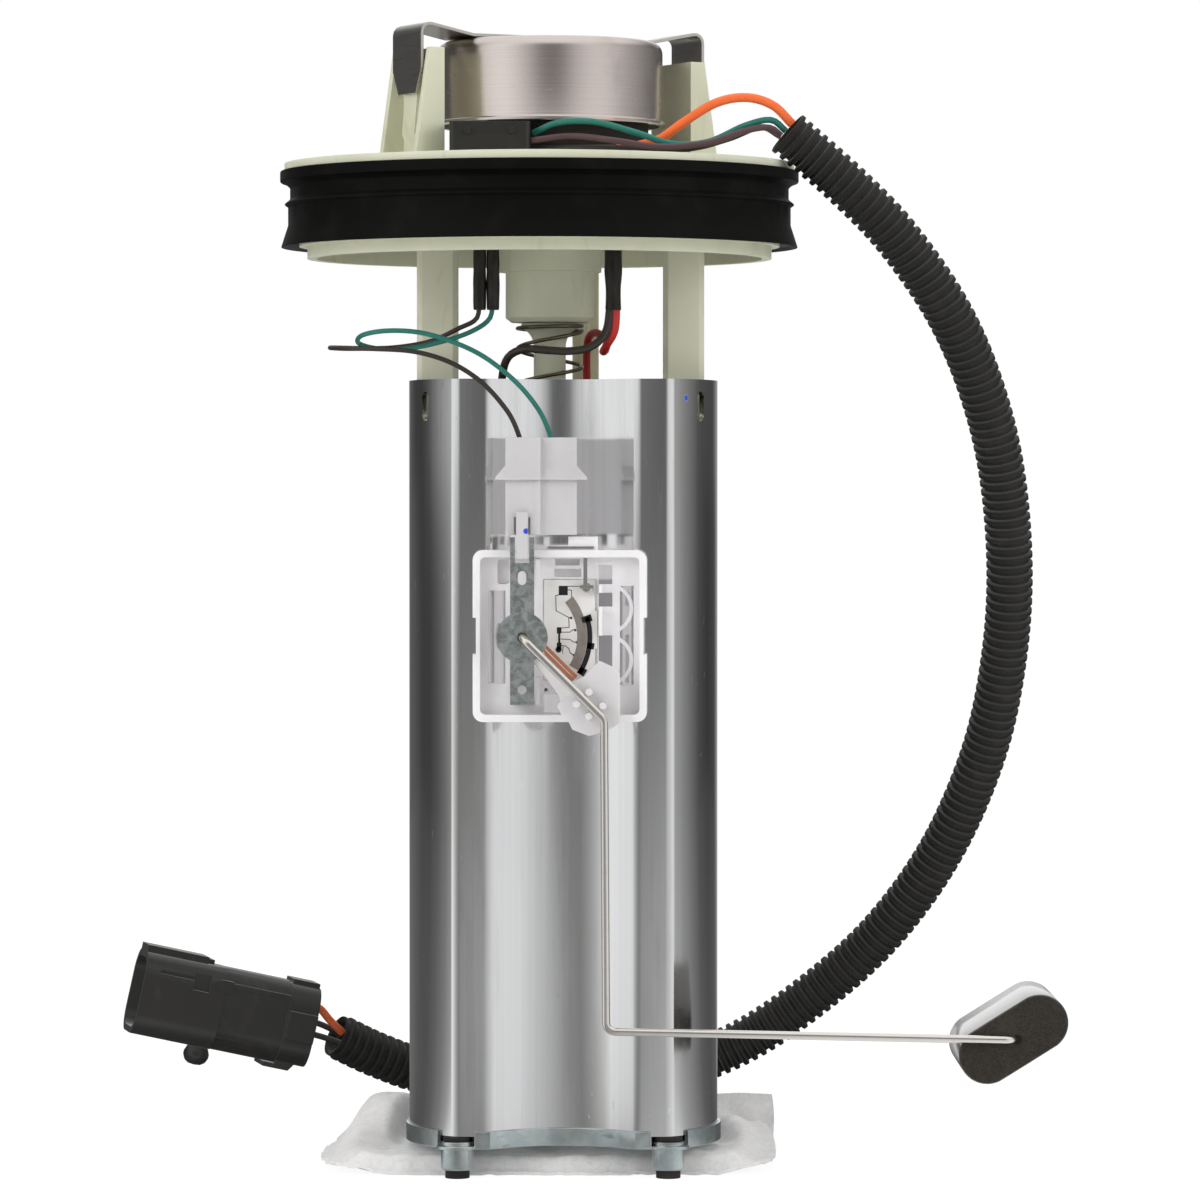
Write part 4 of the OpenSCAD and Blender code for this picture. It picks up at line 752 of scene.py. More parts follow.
def swept(name, route, radii, sides, capped=True):
    """A round mesh along the route. radii is one radius, or one for each point."""
    line = bpy.data.curves.new(name, "CURVE")
    line.dimensions = "3D"
    line.bevel_depth = 1.0
    line.bevel_resolution = (sides - 4) // 2
    line.use_fill_caps = capped
    line.twist_mode = "MINIMUM"
    spline = line.splines.new("POLY")
    spline.points.add(len(route) - 1)
    for i, (point, at) in enumerate(zip(spline.points, route)):
        point.co = (*at, 1)
        point.radius = radii[i] if isinstance(radii, list) else radii
    carrier = bpy.data.objects.new(name, line)
    bpy.context.scene.collection.objects.link(carrier)
    graph = bpy.context.evaluated_depsgraph_get()
    mesh = bpy.data.meshes.new_from_object(carrier.evaluated_get(graph))
    bpy.data.objects.remove(carrier)
    bpy.data.curves.remove(line)
    shape = bmesh.new()
    shape.from_mesh(mesh)
    bmesh.ops.remove_doubles(shape, verts=shape.verts, dist=JOIN)
    bmesh.ops.recalc_face_normals(shape, faces=shape.faces)
    shape.to_mesh(mesh)
    shape.free()
    return piece_of(mesh, name, 50.0)


def cord_piece(name, look, node, points, diameter, blend=None, spacing=0.0012):
    """A round wire along the points, as a mesh, and the route it follows."""
    route = smooth_route(points, spacing)
    piece = swept(name, route, diameter / 2, sizes().wire_sides)
    settle(piece, look, node, ride=blend is None)
    if blend:
        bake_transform(piece)
    return piece, route


def declare(piece, route, diameter):
    tuple(route[0])
    length_of(route)
    [tuple(p) for p in route]


# Properties


def length_choice(name, description, default, low, high):
    return FloatProperty(
        name=name, description=description, default=default, min=low, max=high,
        unit="LENGTH", precision=5,
    )


def colour_choice(name, description, *default):
    return FloatVectorProperty(
        name=name, description=description, subtype="COLOR", size=3, min=0, max=1,
        default=tone(*default),
    )


class ModuleSizes(bpy.types.PropertyGroup):
    """Sizes of the details that the CAD model leaves to the finish."""

    rib_pitch: length_choice(
        "Rib pitch", "Distance from one rib of the conduit to the next", 0.00245, 0.001, 0.006)
    rib_depth: length_choice(
        "Rib depth", "Depth of the grooves between the conduit's ribs", 0.00095, 0.0002, 0.002)
    edge_width: length_choice(
        "Moulded edges", "Width of the rounded edges of moulded pieces", 0.00022, 0.0, 0.001)
    bend_radius: length_choice(
        "Tube bends", "Width of the rounded bends of the tube", 0.0013, 0.0002, 0.003)
    crinkle: length_choice("Felt crinkle", "Height of the felt's wrinkles", 0.0011, 0.0, 0.004)
    wire_sides: IntProperty(
        name="Wire sides", description="Faces round each wire", default=14, min=8, max=32)


class ModuleColours(bpy.types.PropertyGroup):
    """Base colours of the pieces whose colour is chosen per module."""

    flange: colour_choice("Flange", "Natural plastic of the flange and its stem", 212, 213, 190)
    sender: colour_choice("Sender frame", "Milky plastic of the sender's frame", 238, 236, 237)
    seal: colour_choice("Tank seal", "Rubber of the ring under the flange", 12, 12, 11)
    conduit: colour_choice("Conduit", "Plastic of the corrugated conduit", 30, 29, 27)
    connector: colour_choice(
        "Connector", "Plastic of the connector and the terminal block", 34, 33, 31)
    green_wire: colour_choice("Green wire", "Skin of the green wires", 26, 108, 96)
    red_wire: colour_choice("Red wire", "Skin of the pump's red lead", 192, 42, 38)
    orange_wire: colour_choice("Orange wire", "Skin of the orange wires", 236, 104, 46)


# Operators


class Step(bpy.types.Operator):
    """Base of the steps: dresses its plain pieces, makes the others and reports success"""

    bl_idname = "module.step"
    bl_label = "Step"
    plain = ()

    def execute(self, context):
        for row in self.plain:
            dressed(*row)
        self.make(context)
        return {"FINISHED"}

    def make(self, context):
        """Makes the pieces that need more than rounded edges."""


class MODULE_OT_stage(Step):
    """Camera at the photograph's place, pale floor, soft lamps and the studio round them"""

    bl_idname = "module.stage"
    bl_label = "Stage"

    def make(self, context):
        view = bpy.data.cameras.new("photo_camera")
        view.lens = 178.92
        view.sensor_width = 36
        camera = bpy.data.objects.new("photo_camera", view)
        camera.location = (0.0092, -1.5, 0.1653)
        tipped_down = 0.865
        camera.rotation_euler = (math.radians(90 - tipped_down), 0, 0)
        context.scene.collection.objects.link(camera)
        context.scene.camera = camera
        context.scene.view_settings.view_transform = "Standard"
        self.floor(context)
        self.studio(context)
        self.lamp("left_softbox", (-0.95, -0.75, 0.62), 0.9, 7.4)
        self.lamp("right_softbox", (1.0, -0.7, 0.6), 0.9, 6.4)
        self.lamp("top_softbox", (0.05, 0.1, 1.25), 1.0, 6.0)

    def lamp(self, name, place, size, power):
        light = bpy.data.lights.new(name, "AREA")
        light.shape = "DISK"
        light.size = size
        light.energy = power
        lamp = bpy.data.objects.new(name, light)
        lamp.location = place
        aim = Vector((0.01, 0.0, 0.14)) - lamp.location
        lamp.rotation_euler = aim.to_track_quat("-Z", "Y").to_euler()
        lamp.visible_glossy = False
        bpy.context.scene.collection.objects.link(lamp)

    def floor(self, context):
        shape = bmesh.new()
        bmesh.ops.create_grid(shape, x_segments=2, y_segments=2, size=1.6)
        piece = piece_from(shape, "floor")
        f = Finish("floor_white")
        camera, through, glossy = f.outputs(
            "ShaderNodeLightPath", "Is Camera Ray", "Is Transmission Ray", "Is Glossy Ray")
        x, y, _ = f.axes(f.coordinates())
        # Reflections see a grey patch on the floor round the middle: a painted shadow under the
        # object. Farther out they see the studio ring.
        spot, paper = (0.45, 0.45, 0.45), (1.09, 1.09, 1.09)
        far = f.step((x * x + y * y) ** 0.5, 0.035, 0.055)
        shown = f.mix(spot, f.ring(x, y, LOW_RING), far)
        seen = f.mix(shown, paper, (camera + through).held())
        white = f.node("ShaderNodeEmission", inputs={"Color": seen, "Strength": 1.0})
        matt = f.node("ShaderNodeBsdfDiffuse", inputs={"Color": (0.92, 0.92, 0.92, 1)})
        plain, mirrored = 0.84, 0.94
        share = (camera * plain + glossy * mirrored + through * plain).held()
        both = f.node("ShaderNodeMixShader", inputs={0: share, 1: matt, 2: white})
        f.node("ShaderNodeOutputMaterial", inputs={"Surface": both})
        piece.data.materials.append(f.material)

    def studio(self, context):
        """Plain light for matt surfaces, and a studio with bright sides for metal to show."""
        world = bpy.data.worlds.new("studio")
        world.use_nodes = True
        context.scene.world = world
        f = Finish("studio", world.node_tree)
        camera, through, matt = f.outputs(
            "ShaderNodeLightPath", "Is Camera Ray", "Is Transmission Ray", "Is Diffuse Ray")
        x, y, z = f.axes(f.coordinates("Generated"))
        ahead = f.step(0.0 - y, 0.9, 0.99) * f.step(z, -0.062, -0.005)
        shown = f.ring(x, y, LOW_RING)
        for colour, share in (
            ((0.15, 0.15, 0.15), ahead),
            (f.ring(x, y, LEVEL_RING), f.step(z, -0.004, 0.012)),
            (f.ring(x, y, HIGH_RING), f.step(z, 0.025, 0.045)),
            ((0.95, 0.95, 0.95), f.step(z, 0.35, 0.8)),
            ((0.44, 0.44, 0.44), matt),
            ((1.0, 1.0, 1.0), (camera + through).held()),
        ):
            shown = f.mix(shown, colour, share)
        light = f.node("ShaderNodeBackground", inputs={"Color": shown, "Strength": 1.0})
        f.node("ShaderNodeOutputWorld", inputs={"Surface": light})


class MODULE_OT_connector(Step):
    """Connector with its collar, contacts and peg, and the three wires behind it"""

    bl_idname = "module.connector"
    bl_label = "Connector"
    plain = (
        ("connector_shell", "black", 0.0003), ("connector_collar", "black", 0.0004),
        ("connector_pins", "brass", 0.0002), ("connector_peg", "black", 0.0005, 3),
    )

    def make(self, context):
        for name, look, node, points, diameter in (
            ("tail_orange", "wire_orange", "tail_wire_orange", TAIL_ORANGE, 0.002),
            ("tail_black_upper", "wire_black", "tail_wires_black", TAIL_BLACK_A, 0.0016),
            ("tail_black_lower", "wire_black", "tail_wires_black", TAIL_BLACK_B, 0.0016),
        ):
            cord_piece(name, look, node, points, diameter, spacing=0.0006)


class MODULE_OT_conduit(Step):
    """Corrugated conduit from the flange down to the connector, open at both ends"""

    bl_idname = "module.conduit"
    bl_label = "Conduit"

    def make(self, context):
        route = smooth_route(CONDUIT, 0.0005)
        length = length_of(route)
        count = round(length / sizes().rib_pitch)
        crest, depth, sides = 0.0059, sizes().rib_depth, 28
        marks = [((i + share) / count, part) for i in range(count) for share, part in RIB]
        marks.append((1.0, RIB[0][1]))
        points = along(route, [share * length for share, _ in marks])
        radii = [crest - part * depth for _, part in marks]
        piece = swept("conduit", points, radii, sides, capped=False)
        wall = piece.modifiers.new("wall", "SOLIDIFY")
        wall.thickness = 0.0006
        wall.offset = -1.0
        applied(piece, 50.0)
        settle(piece, "conduit", "harness_conduit", ride=False)
        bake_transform(piece)
        carried = [bpy.data.objects[name] for name in (
            "connector_shell_finished", "connector_collar_finished", "connector_pins_finished",
            "connector_peg_finished", "tail_orange", "tail_black_upper", "tail_black_lower",
        )]
        for item in (piece, *carried):
            item.visible_glossy = False
        declare(piece, points, 2 * crest)


class MODULE_OT_wires(Step):
    """Leads under the flange, and wires over it"""

    bl_idname = "module.wires"
    bl_label = "Leads and wires"

    def make(self, context):
        band = (0.2035, 0.2148)
        for name, look, node, points, diameter, blend in (
            ("sender_black_lead", "wire_black", "sender_lead_black", SENDER_BLACK, 0.0012, band),
            ("sender_green_lead", "wire_green", "sender_lead_green", SENDER_GREEN, 0.0012, band),
            ("pump_black_lead", "wire_black", "pump_lead_black", PUMP_BLACK, 0.002, band),
            ("pump_red_lead", "wire_red", "pump_lead_red", PUMP_RED, 0.002, band),
            ("wire_orange", "wire_orange", "harness_wire_orange", WIRE_ORANGE, 0.0023, None),
            ("wire_green", "wire_green", "harness_wire_green", WIRE_GREEN, 0.0016, None),
            ("wire_black", "wire_black", "harness_wires_dark", WIRE_BLACK, 0.0016, None),
            ("wire_brown", "wire_brown", "harness_wires_dark", WIRE_BROWN, 0.0016, None),
        ):
            piece, route = cord_piece(name, look, node, points, diameter, blend)
            piece.visible_glossy = blend is None
            declare(piece, route, diameter)


class MODULE_OT_tube(Step):
    """Housing tube with two flats and the channel between them, its holes and notches"""

    bl_idname = "module.tube"
    bl_label = "Housing tube"

    def make(self, context):
        radius, flat, channel, deep, slope = 0.03875, 0.02821, 0.0195, 0.009, math.radians(38)
        foot, top, wall = 0.0081, 0.1977, 0.0012
        hub = flat - deep + channel
        reach = channel * math.sin(slope)
        mouth = reach + (deep - channel * (1 - math.cos(slope))) / math.tan(slope)
        shape = bmesh.new()
        start = Vector((math.sqrt(radius**2 - flat**2), -flat, foot))
        sweep = math.tau - 2 * math.atan2(start.x, flat)
        first = shape.verts.new(start)
        back = self.spin_vert(shape, first, (0, 0, 0), sweep, 120)
        corner, low, far = (
            shape.verts.new(at) for at in (
                (-mouth, -flat, foot), (-reach, channel * math.cos(slope) - hub, foot),
                (mouth, -flat, foot))
        )
        shape.edges.new((back, corner))
        shape.edges.new((corner, low))
        end = self.spin_vert(shape, low, (0, -hub, 0), -2 * slope, 48)
        shape.edges.new((end, far))
        shape.edges.new((far, first))
        bmesh.ops.remove_doubles(shape, verts=shape.verts, dist=JOIN)
        made = bmesh.ops.extrude_edge_only(shape, edges=shape.edges)
        drawn_out(shape, made, (0, 0, top - foot))
        bmesh.ops.recalc_face_normals(shape, faces=shape.faces)
        rear = max(shape.faces, key=lambda face: face.calc_center_median().y)
        if rear.normal.y < 0:
            bmesh.ops.reverse_faces(shape, faces=shape.faces)
        bends = [e for e in shape.edges if len(e.link_faces) == 2
                 and e.calc_face_angle(0.0) > math.radians(20)]
        bmesh.ops.bevel(
            shape, geom=bends, offset=sizes().bend_radius, offset_type="OFFSET", affect="EDGES",
            segments=5, profile=0.5, material=-1,
        )
        piece = piece_from(shape, "tube")
        walls = piece.modifiers.new("wall", "SOLIDIFY")
        walls.thickness = wall
        walls.offset = -1.0
        walls.use_even_offset = True
        applied(piece)
        cutter = self.cutter()
        cut = piece.modifiers.new("cut", "BOOLEAN")
        cut.operation = "DIFFERENCE"
        cut.solver = "EXACT"
        cut.object = cutter
        applied(piece)
        bpy.data.objects.remove(cutter)
        settle(piece, "tube", "housing_tube")

    def spin_vert(self, shape, vert, centre, angle, steps):
        made = bmesh.ops.spin(
            shape, geom=[vert], cent=centre, axis=(0, 0, 1), angle=angle, steps=steps,
            use_duplicate=False,
        )
        return next(g for g in made["geom_last"] if isinstance(g, bmesh.types.BMVert))

    def cutter(self):
        """Cylinders over the feet, and the two tall oval holes near the top."""
        shape = bmesh.new()
        radius, height = 0.0047, 0.00875
        for foot in FEET:
            bmesh.ops.create_cone(
                shape, cap_ends=True, segments=40, radius1=radius, radius2=radius, depth=0.0033,
                matrix=Matrix.Translation((foot.x, foot.y, height)),
            )
        radius, height, half_slot = 0.0018, 0.191, 0.0019
        for turn in (-28, 208):
            place = Matrix.Rotation(math.radians(turn), 4, "Z")
            place = place @ Matrix.Translation((0.0385, 0, height))
            place = place @ Matrix.Rotation(math.pi / 2, 4, "Y")
            made = bmesh.ops.create_cone(
                shape, cap_ends=True, segments=32, radius1=radius, radius2=radius, depth=0.006,
                matrix=place,
            )["verts"]
            for vert in made:
                vert.co.z += half_slot if vert.co.z > height else -half_slot
        return piece_from(shape, "tube_cutter")


class MODULE_OT_base(Step):
    """Base pan, ferrules and rubber feet"""

    bl_idname = "module.base"
    bl_label = "Base"
    plain = (
        ("base_pan", "zinc", 0.00018), ("foot_ferrules", "zinc", 0.00015),
        ("foot_bumpers", "rubber", 0.0004, 3),
    )


def smooth(value):
    value = min(1.0, max(0.0, value))
    return value * value * (3 - 2 * value)


def softened(u, w, share):
    """A point of the square from -1 to 1, drawn towards a circle by the shares in u and w."""
    round_u, round_w = u * math.sqrt(1 - w * w / 2), w * math.sqrt(1 - u * u / 2)
    return u + (round_u - u) * share[0], w + (round_w - w) * share[1]


class MODULE_OT_sock(Step):
    """Strainer sock: a felt bag with crinkled sealed edges, raised at its ends"""

    bl_idname = "module.sock"
    bl_label = "Strainer sock"

    def make(self, context):
        shape = bmesh.new()
        bmesh.ops.create_grid(shape, x_segments=120, y_segments=64, size=1)
        lower = shape.verts.layers.int.new("lower")
        for vert in shape.verts:
            vert[lower] = 1
        made = bmesh.ops.extrude_face_region(shape, geom=shape.faces)["geom"]
        for vert in (g for g in made if isinstance(g, bmesh.types.BMVert)):
            vert[lower] = 0
        for vert in shape.verts:
            vert.co = self.spot(vert.co.x, vert.co.y, vert[lower])
        self.tongue(shape)
        bmesh.ops.recalc_face_normals(shape, faces=shape.faces)
        piece = piece_from(shape, "sock", 80.0)
        settle(piece, "felt", "strainer_sock")
        piece.visible_glossy = False

    def spot(self, u, w, lower):
        """A point of the bag: u runs from the left end to the right, w from front to rear."""
        across, deep = softened(u, w, (0.28, 0.2))
        x = -3.5 + 57.5 * across if across < 0 else -3.5 + 57 * across
        rear = 20.5 + 11 * smooth((abs(x + 1) - 33) / 7)
        y = 0.5 + deep * (rear - 0.5) if deep > 0 else 0.5 + deep * 21.5
        away = math.hypot(x, y)
        under_pan = 40.5
        free = smooth((away - under_pan) / 5)
        lift = 0.3
        if x < 0:
            lift += 11.5 * free * smooth((y + 6) / 26) * smooth((x + 62) / 17)
            lift += 2.2 * smooth((-x - 42) / 14)
        else:
            lift += 5.5 * free * smooth((y + 8) / 30) + 2.6 * smooth((x - 36) / 16)
        inside = max(abs(u), abs(w))
        seam = smooth((0.955 - inside) / 0.12)
        body = seam * (1 - 0.35 * smooth((inside - 0.45) / 0.5))
        height = sizes().crinkle / MM
        spot = Vector((x * 0.09, y * 0.12, 3.1))
        fold = noise.noise(spot) * 0.9 + noise.noise(spot * 2.7) * 0.5
        fold += noise.noise(spot * 6.1) * 0.25
        edge = noise.noise(Vector((x * 0.35, y * 0.35, 9.0))) * (1 - seam) * 0.5
        top = lift + 0.5 + body * 5.3 + fold * height * (0.35 + 0.65 * body) + edge
        if away < under_pan:
            top = min(top, 6.9 - 0.4 * noise.noise(spot * 3))
        low = max(0.0, lift - 0.25 + edge - 0.6 * body + fold * 0.3 * height)
        return Vector((x, y, min(low, top - 0.45) if lower else top)) * MM

    def tongue(self, shape):
        """The flap that stands up behind the right end."""
        made = bmesh.ops.create_grid(shape, x_segments=28, y_segments=18, size=1)["verts"]
        faces = list({f for v in made for f in v.link_faces})
        for vert in made:
            across, high = softened(vert.co.x, vert.co.y, (0.2, 0.2))
            x, up = 44.5 + across * 9.4, (high + 1) / 2
            wave = noise.noise(Vector((x * 0.13, up * 1.7, 5.0)))
            vert.co = Vector((x, 27 + 3.5 * up + wave * 1.4, 3.2 + up * 12.2 + wave * 0.3)) * MM
        bmesh.ops.solidify(shape, geom=faces, thickness=0.0006)


class MODULE_OT_sender(Step):
    """Level sender: frame, printed card, pivot strap, solder clip and plug"""

    bl_idname = "module.sender"
    bl_label = "Level sender"
    plain = (
        ("sender_frame", "milky", None), ("sender_card", "ceramic", 0.00008),
        ("sender_strap", "galvanise", 0.00012), ("sender_clip", "solder", 0.00012, 3),
        ("sender_plug", "plug", None),
    )
    card = -0.03095

    def make(self, context):
        """Prints the resistor arc, the comb of contacts, the pads and the traces on the card."""
        thick, trace = 0.00008, 0.00005
        shape = bmesh.new()
        self.arc(shape, 13.5, 15.9, -31, 39, thick)
        self.printed(shape, "resistor_arc", "resistor")
        shape = bmesh.new()
        for row in ((16.0, 17.2, -33, 17), (16.0, 17.9, -33, -27), (16.0, 17.8, -10, -5),
                    (15.2, 17.7, 13, 18.5)):
            self.arc(shape, *row, thick + 0.00002)
        for row in ((-0.95, 144.3, 1.26, 146.6), (-1.4, 134.9, -0.3, 136.4),
                    (-1.4, 130.8, -0.3, 132.6), (-1.1, 132.4, -0.6, 135.0)):
            self.pad(shape, *row, thick)
        self.dot(shape, -1.0, 130.9, 0.75, thick)
        self.printed(shape, "contact_comb", "conductor")
        shape = bmesh.new()
        for line in (
            ((1.2, 146.5), (4.6, 146.5)),
            ((1.2, 145.7), (2.2, 145.5), (2.2, 143.6), (1.2, 142.6)),
            ((-0.9, 144.4), (-1.7, 144.2), (-1.6, 140.5), (1.5, 138.8), (1.6, 136.4),
             (-0.4, 136.2)),
            ((1.5, 138.8), (2.3, 138.6)),
            ((-0.4, 135.2), (1.8, 135.2), (2.5, 135.8), (3.3, 135.6)),
            ((-0.4, 133.5), (1.8, 133.4), (2.6, 132.8), (3.5, 132.7)),
            ((-0.4, 131.9), (0.7, 131.8), (1.5, 131.2), (1.9, 130.0), (2.9, 129.5)),
            ((0.1, 131.8), (0.0, 130.0)),
        ):
            for start, end in zip(line, line[1:]):
                self.strip(shape, start, end, 0.2, trace)
        for x, z in ((3.1, 135.7), (3.5, 132.7), (2.8, 129.5), (2.1, 138.7)):
            self.dot(shape, x, z, 0.33, trace)
        self.printed(shape, "thin_traces", "trace")
        self.solder_ball()

    def printed(self, shape, name, look):
        settle(piece_from(shape, name), look, "sender_card", replace=False)

    def spot(self, x, z, thick):
        """The place of a print's middle, given as x and z in millimetres."""
        return Vector((x * MM, self.card - thick / 2, z * MM))

    def arc(self, shape, inner, outer, start, end, thick):
        """A flat arc round the pivot, between two radii in mm and two angles in degrees."""
        others, front, turn = set(shape.faces), self.card - thick, math.radians(start)
        ends = [
            shape.verts.new((PIVOT.x + r * MM * math.cos(turn), front,
                             PIVOT.z + r * MM * math.sin(turn)))
            for r in (inner, outer)
        ]
        bmesh.ops.spin(
            shape, geom=[*ends, shape.edges.new(ends)], cent=(PIVOT.x, front, PIVOT.z),
            axis=(0, -1, 0), angle=math.radians(end - start), steps=24, use_duplicate=False,
        )
        faces = [face for face in shape.faces if face not in others]
        drawn_out(shape, bmesh.ops.extrude_face_region(shape, geom=faces), (0, thick, 0))
        faces = [face for face in shape.faces if face not in others]
        bmesh.ops.recalc_face_normals(shape, faces=faces)

    def pad(self, shape, left, low, right, high, thick):
        place = Matrix.Translation(self.spot((left + right) / 2, (low + high) / 2, thick))
        size = ((right - left) * MM, thick, (high - low) * MM, 1)
        bmesh.ops.create_cube(shape, size=1.0, matrix=place @ Matrix.Diagonal(size))

    def strip(self, shape, start, end, width, thick):
        """A printed line between two points of the card."""
        a, b = self.spot(*start, thick), self.spot(*end, thick)
        turn = Matrix.Rotation(math.atan2(a.z - b.z, b.x - a.x), 4, "Y")
        size = ((b - a).length + width * MM * 0.6, thick, width * MM, 1)
        place = Matrix.Translation((a + b) / 2) @ turn
        bmesh.ops.create_cube(shape, size=1.0, matrix=place @ Matrix.Diagonal(size))

    def dot(self, shape, x, z, radius, thick):
        place = Matrix.Translation(self.spot(x, z, thick)) @ Matrix.Rotation(math.pi / 2, 4, "X")
        bmesh.ops.create_cone(
            shape, cap_ends=True, segments=20, radius1=radius * MM, radius2=radius * MM,
            depth=thick, matrix=place,
        )

    def solder_ball(self):
        shape = bmesh.new()
        place = Matrix.Translation(Vector((6.1, -32.0, 145.9)) * MM)
        place = place @ Matrix.Diagonal((1.25, 0.9, 0.95, 1))
        bmesh.ops.create_uvsphere(shape, u_segments=28, v_segments=18, radius=0.0011, matrix=place)
        for vert in shape.verts:
            push = noise.noise(vert.co * 1500) * 0.00012
            vert.co += Vector((push, -abs(push), push))
        settle(piece_from(shape, "solder_ball", 60.0), "solder", "sender_clip", replace=False)


class MODULE_OT_arm(Step):
    """Float arm: bent rod, foam float, lever and its two contacts"""

    bl_idname = "module.arm"
    bl_label = "Float arm"

    def make(self, context):
        rod = swept("rod", bent_route(ROD, 0.0024, 10), 0.001, 24)
        settle(rod, "rod", "float_rod")
        rod.visible_glossy = False
        self.foam_float()
        dressed("wiper_lever", "lever", 0.00025)
        dressed("wiper_contacts", "copper", 0.00008)

    def foam_float(self):
        """A block with round ends, lying across the rod's end, with its edges rubbed round."""
        low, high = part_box("float")
        radius, half_flat = 0.007, 0.0076
        shape = bmesh.new()
        bmesh.ops.create_circle(shape, cap_ends=True, segments=72, radius=radius)
        for vert in shape.verts:
            if abs(vert.co.x) > 0.0001:
                vert.co.x += math.copysign(half_flat, vert.co.x)
        made = bmesh.ops.extrude_face_region(shape, geom=shape.faces[:])
        drawn_out(shape, made, (0, 0, high[1] - low[1]))
        bmesh.ops.recalc_face_normals(shape, faces=shape.faces)
        rims = [e for e in shape.edges if e.calc_face_angle(0.0) > math.radians(60)]
        bmesh.ops.bevel(
            shape, geom=rims, offset=0.0007, offset_type="OFFSET", affect="EDGES", segments=4,
            profile=0.5, material=-1,
        )
        place = Matrix.Translation((FLOAT.x, high[1], FLOAT.z))
        turn = Matrix.Rotation(math.radians(-32), 4, "Y") @ Matrix.Rotation(math.pi / 2, 4, "X")
        bmesh.ops.transform(shape, matrix=place @ turn, verts=shape.verts)
        settle(piece_from(shape, "float"), "foam", "float")


class MODULE_OT_flange(Step):
    """Flange, its legs and stem, the block, grommets, sleeves and the outlet"""

    bl_idname = "module.flange"
    bl_label = "Flange"
    plain = (
        ("flange_plate", "acetal", None), ("tank_seal", "seal", 0.0003),
        ("guide_leg_left", "leg", None), ("guide_leg_right", "leg", None),
        # The rear leg takes the lighter copy of the leg plastic, painted as lit from behind.
        ("guide_leg_rear", "aged", None), ("supply_stem", "acetal", None),
        ("terminal_block", "black", None), ("lead_seals", "rubber", None),
        ("fuel_outlet", "grey", None),
    )

    def make(self, context):
        """Makes the three shrunk sleeves, lumpy where the wires part."""
        shape = bmesh.new()
        last = 60
        for x, y, radius in ((-20.7, -17, 1.6), (-17.4, -17, 1.6), (12.5, -14, 2.15)):
            route = [Vector((x, y, 245 - i * 0.5)) * MM for i in range(last + 1)]
            radii = [
                (radius + 0.14 * noise.noise(Vector((x, y, p.z * 260)))
                 - 0.28 * math.exp(-(((p.z / MM - 218.5) / 3.2) ** 2)) * (radius > 2)
                 - 0.12 * (i in (0, last))) * MM
                for i, p in enumerate(route)
            ]
            part = swept("part", route, radii, 20)
            shape.from_mesh(part.data)
            bpy.data.objects.remove(part)
        settle(piece_from(shape, "sleeves", 50.0), "sleeve", "lead_sleeves")


class MODULE_OT_can(Step):
    """Regulator can with a rolled lip, its seal and the spring strap over it"""

    bl_idname = "module.can"
    bl_label = "Can and strap"

    def make(self, context):
        low, wall, radius, high = 262.0, 0.9, 28.5, 283.2
        outer, inner = 3.0, 2.1
        profile = [
            (radius - wall, low), (radius + 0.7, low), (radius + 0.9, low + 0.25),
            (radius + 0.9, low + 0.85), (radius + 0.7, low + 1.1), (radius + 0.1, low + 1.2),
            (radius, low + 1.4),
            *self.bend(radius - outer, high - outer, outer, range(0, 91, 10)),
            (0.02, high), (0.02, high - wall),
            *self.bend(radius - wall - inner, high - wall - inner, inner, range(90, -1, -15)),
            (radius - wall, low),
        ]
        shape = bmesh.new()
        verts = [shape.verts.new((CORE.x + r * MM, CORE.y, z * MM)) for r, z in profile]
        edges = [shape.edges.new(pair) for pair in zip(verts, verts[1:])]
        bmesh.ops.spin(
            shape, geom=verts + edges, cent=(CORE.x, CORE.y, 0), axis=(0, 0, 1),
            angle=math.tau, steps=128, use_merge=True, use_duplicate=False,
        )
        bmesh.ops.remove_doubles(shape, verts=shape.verts, dist=2 * JOIN)
        bmesh.ops.recalc_face_normals(shape, faces=shape.faces)
        settle(piece_from(shape, "can", 28.0), "can", "regulator_can")
        dressed("can_seal", "rubber", 0.0003)
        dressed("retaining_strap", "strap", 0.00012)

    def bend(self, out, up, radius, angles):
        """Points of a bend round (out, up), at the angles in degrees."""
        turns = [math.radians(angle) for angle in angles]
        return [(out + radius * math.cos(t), up + radius * math.sin(t)) for t in turns]


class MODULE_OT_spring(Step):
    """Compression spring round the stem"""

    bl_idname = "module.spring"
    bl_label = "Spring"

    def make(self, context):
        low, high, turns, per_turn = 117.75, 211.75, 12, 40
        coil, closed = 8.15, 1.155
        route = []
        for i in range(turns * per_turn + 1):
            t = i / per_turn
            if t < 1:
                z = low + t * closed
            elif t > turns - 1:
                z = high - (turns - t) * closed
            else:
                z = low + closed + (high - low - 2 * closed) * (t - 1) / (turns - 2)
            x, y = (coil * turn(math.tau * t) for turn in (math.cos, math.sin))
            route.append(Vector((x, y, z)) * MM + CORE)
        piece = swept("spring", route, 0.00048, 14)
        settle(piece, "coil", "compression_spring")
        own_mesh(piece)


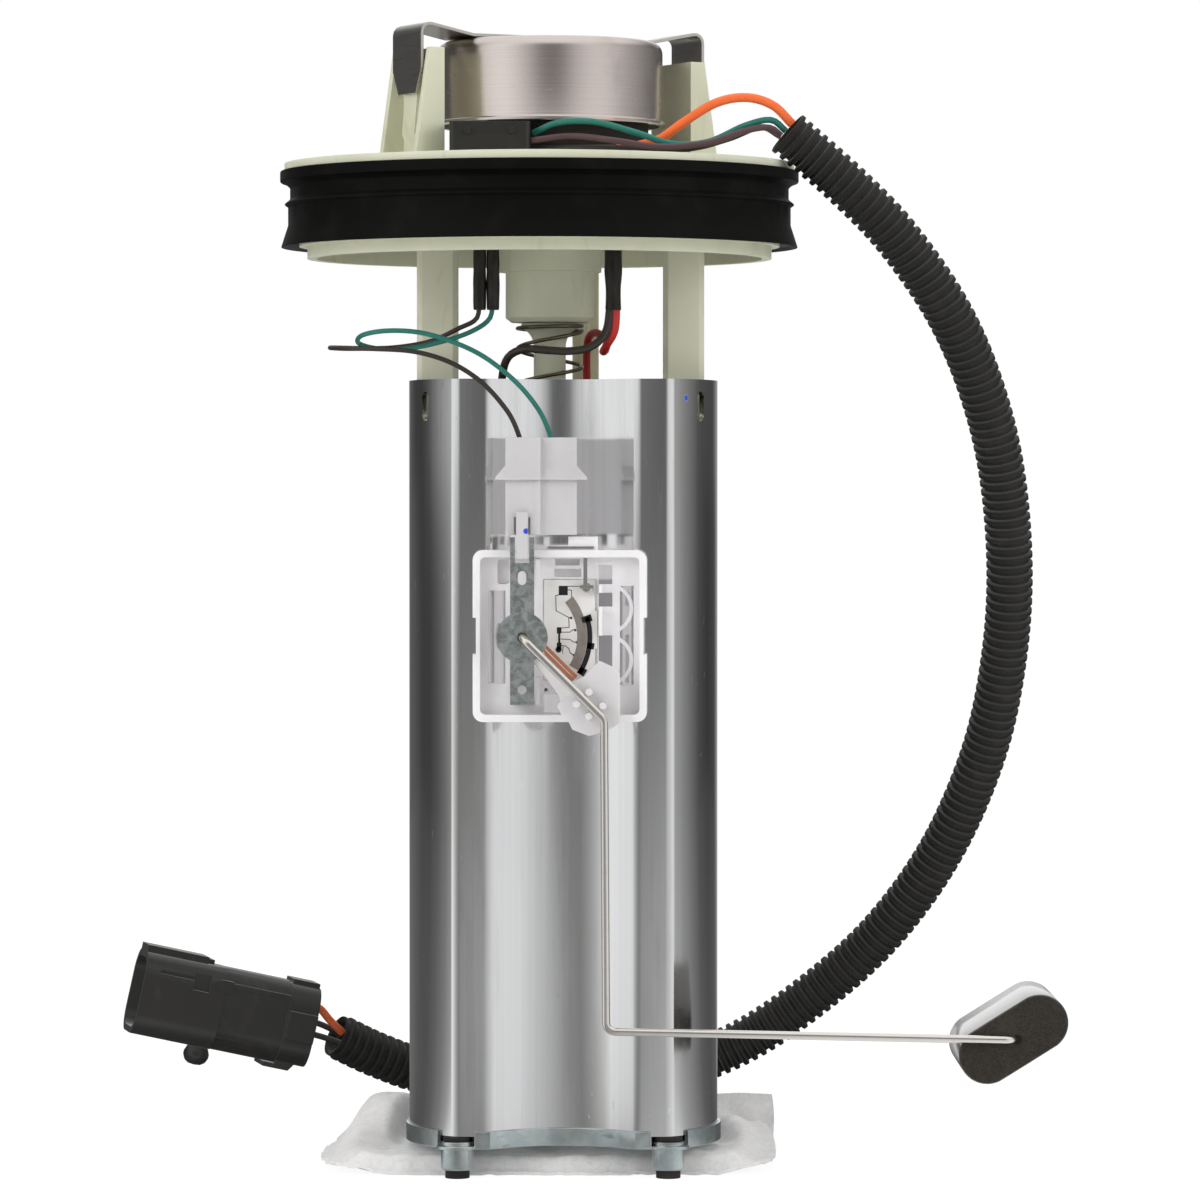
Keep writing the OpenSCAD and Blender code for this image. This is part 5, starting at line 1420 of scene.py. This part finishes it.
class MODULE_OT_inside(Step):
    """Pump, holders, filter and valve, which the tube and the can hide"""

    bl_idname = "module.inside"
    bl_label = "Inside pieces"
    plain = (
        ("strainer_neck", "acetal"), ("lower_holder", "acetal"), ("upper_holder", "acetal"),
        ("lower_isolator", "rubber"), ("upper_isolator", "rubber"), ("pump_case", "case"),
        ("pump_inlet_cap", "grey"), ("pump_outlet_cap", "grey"), ("pump_magnets", "magnet"),
        ("pump_brushes", "carbon"), ("pump_terminals", "brass"), ("pump_armature", "rotor"),
        ("pump_impeller", "black"), ("slip_coupling", "rubber"), ("coupling_oring", "seal"),
        ("filter_element", "paper"), ("regulator_valve", "case"),
    )


STEPS = (
    MODULE_OT_stage, MODULE_OT_connector, MODULE_OT_conduit, MODULE_OT_wires, MODULE_OT_tube,
    MODULE_OT_base, MODULE_OT_sock, MODULE_OT_sender, MODULE_OT_arm, MODULE_OT_flange,
    MODULE_OT_can, MODULE_OT_spring, MODULE_OT_inside,
)


class MODULE_PT_panel(bpy.types.Panel):
    """Lists the steps, sizes and colours"""

    bl_idname = "MODULE_PT_panel"
    bl_label = "Fuel pump module"
    bl_space_type = "VIEW_3D"
    bl_region_type = "UI"
    bl_category = "Fuel module"

    def draw(self, context):
        layout = self.layout
        for group in (context.scene.module_sizes, context.scene.module_colours):
            column = layout.column()
            for key in group.__annotations__:
                column.prop(group, key)
        for step in STEPS:
            layout.operator(step.bl_idname)


CLASSES = (ModuleSizes, ModuleColours, *STEPS, MODULE_PT_panel)


def register():
    for item in CLASSES:
        bpy.utils.register_class(item)
    bpy.types.Scene.module_sizes = PointerProperty(type=ModuleSizes)
    bpy.types.Scene.module_colours = PointerProperty(type=ModuleColours)


def unregister():
    del bpy.types.Scene.module_colours
    del bpy.types.Scene.module_sizes
    for item in reversed(CLASSES):
        bpy.utils.unregister_class(item)


def main():
    register()
    for step in STEPS:
        group, name = step.bl_idname.split(".")
        getattr(getattr(bpy.ops, group), name)()


if __name__ == "__main__":
    main()
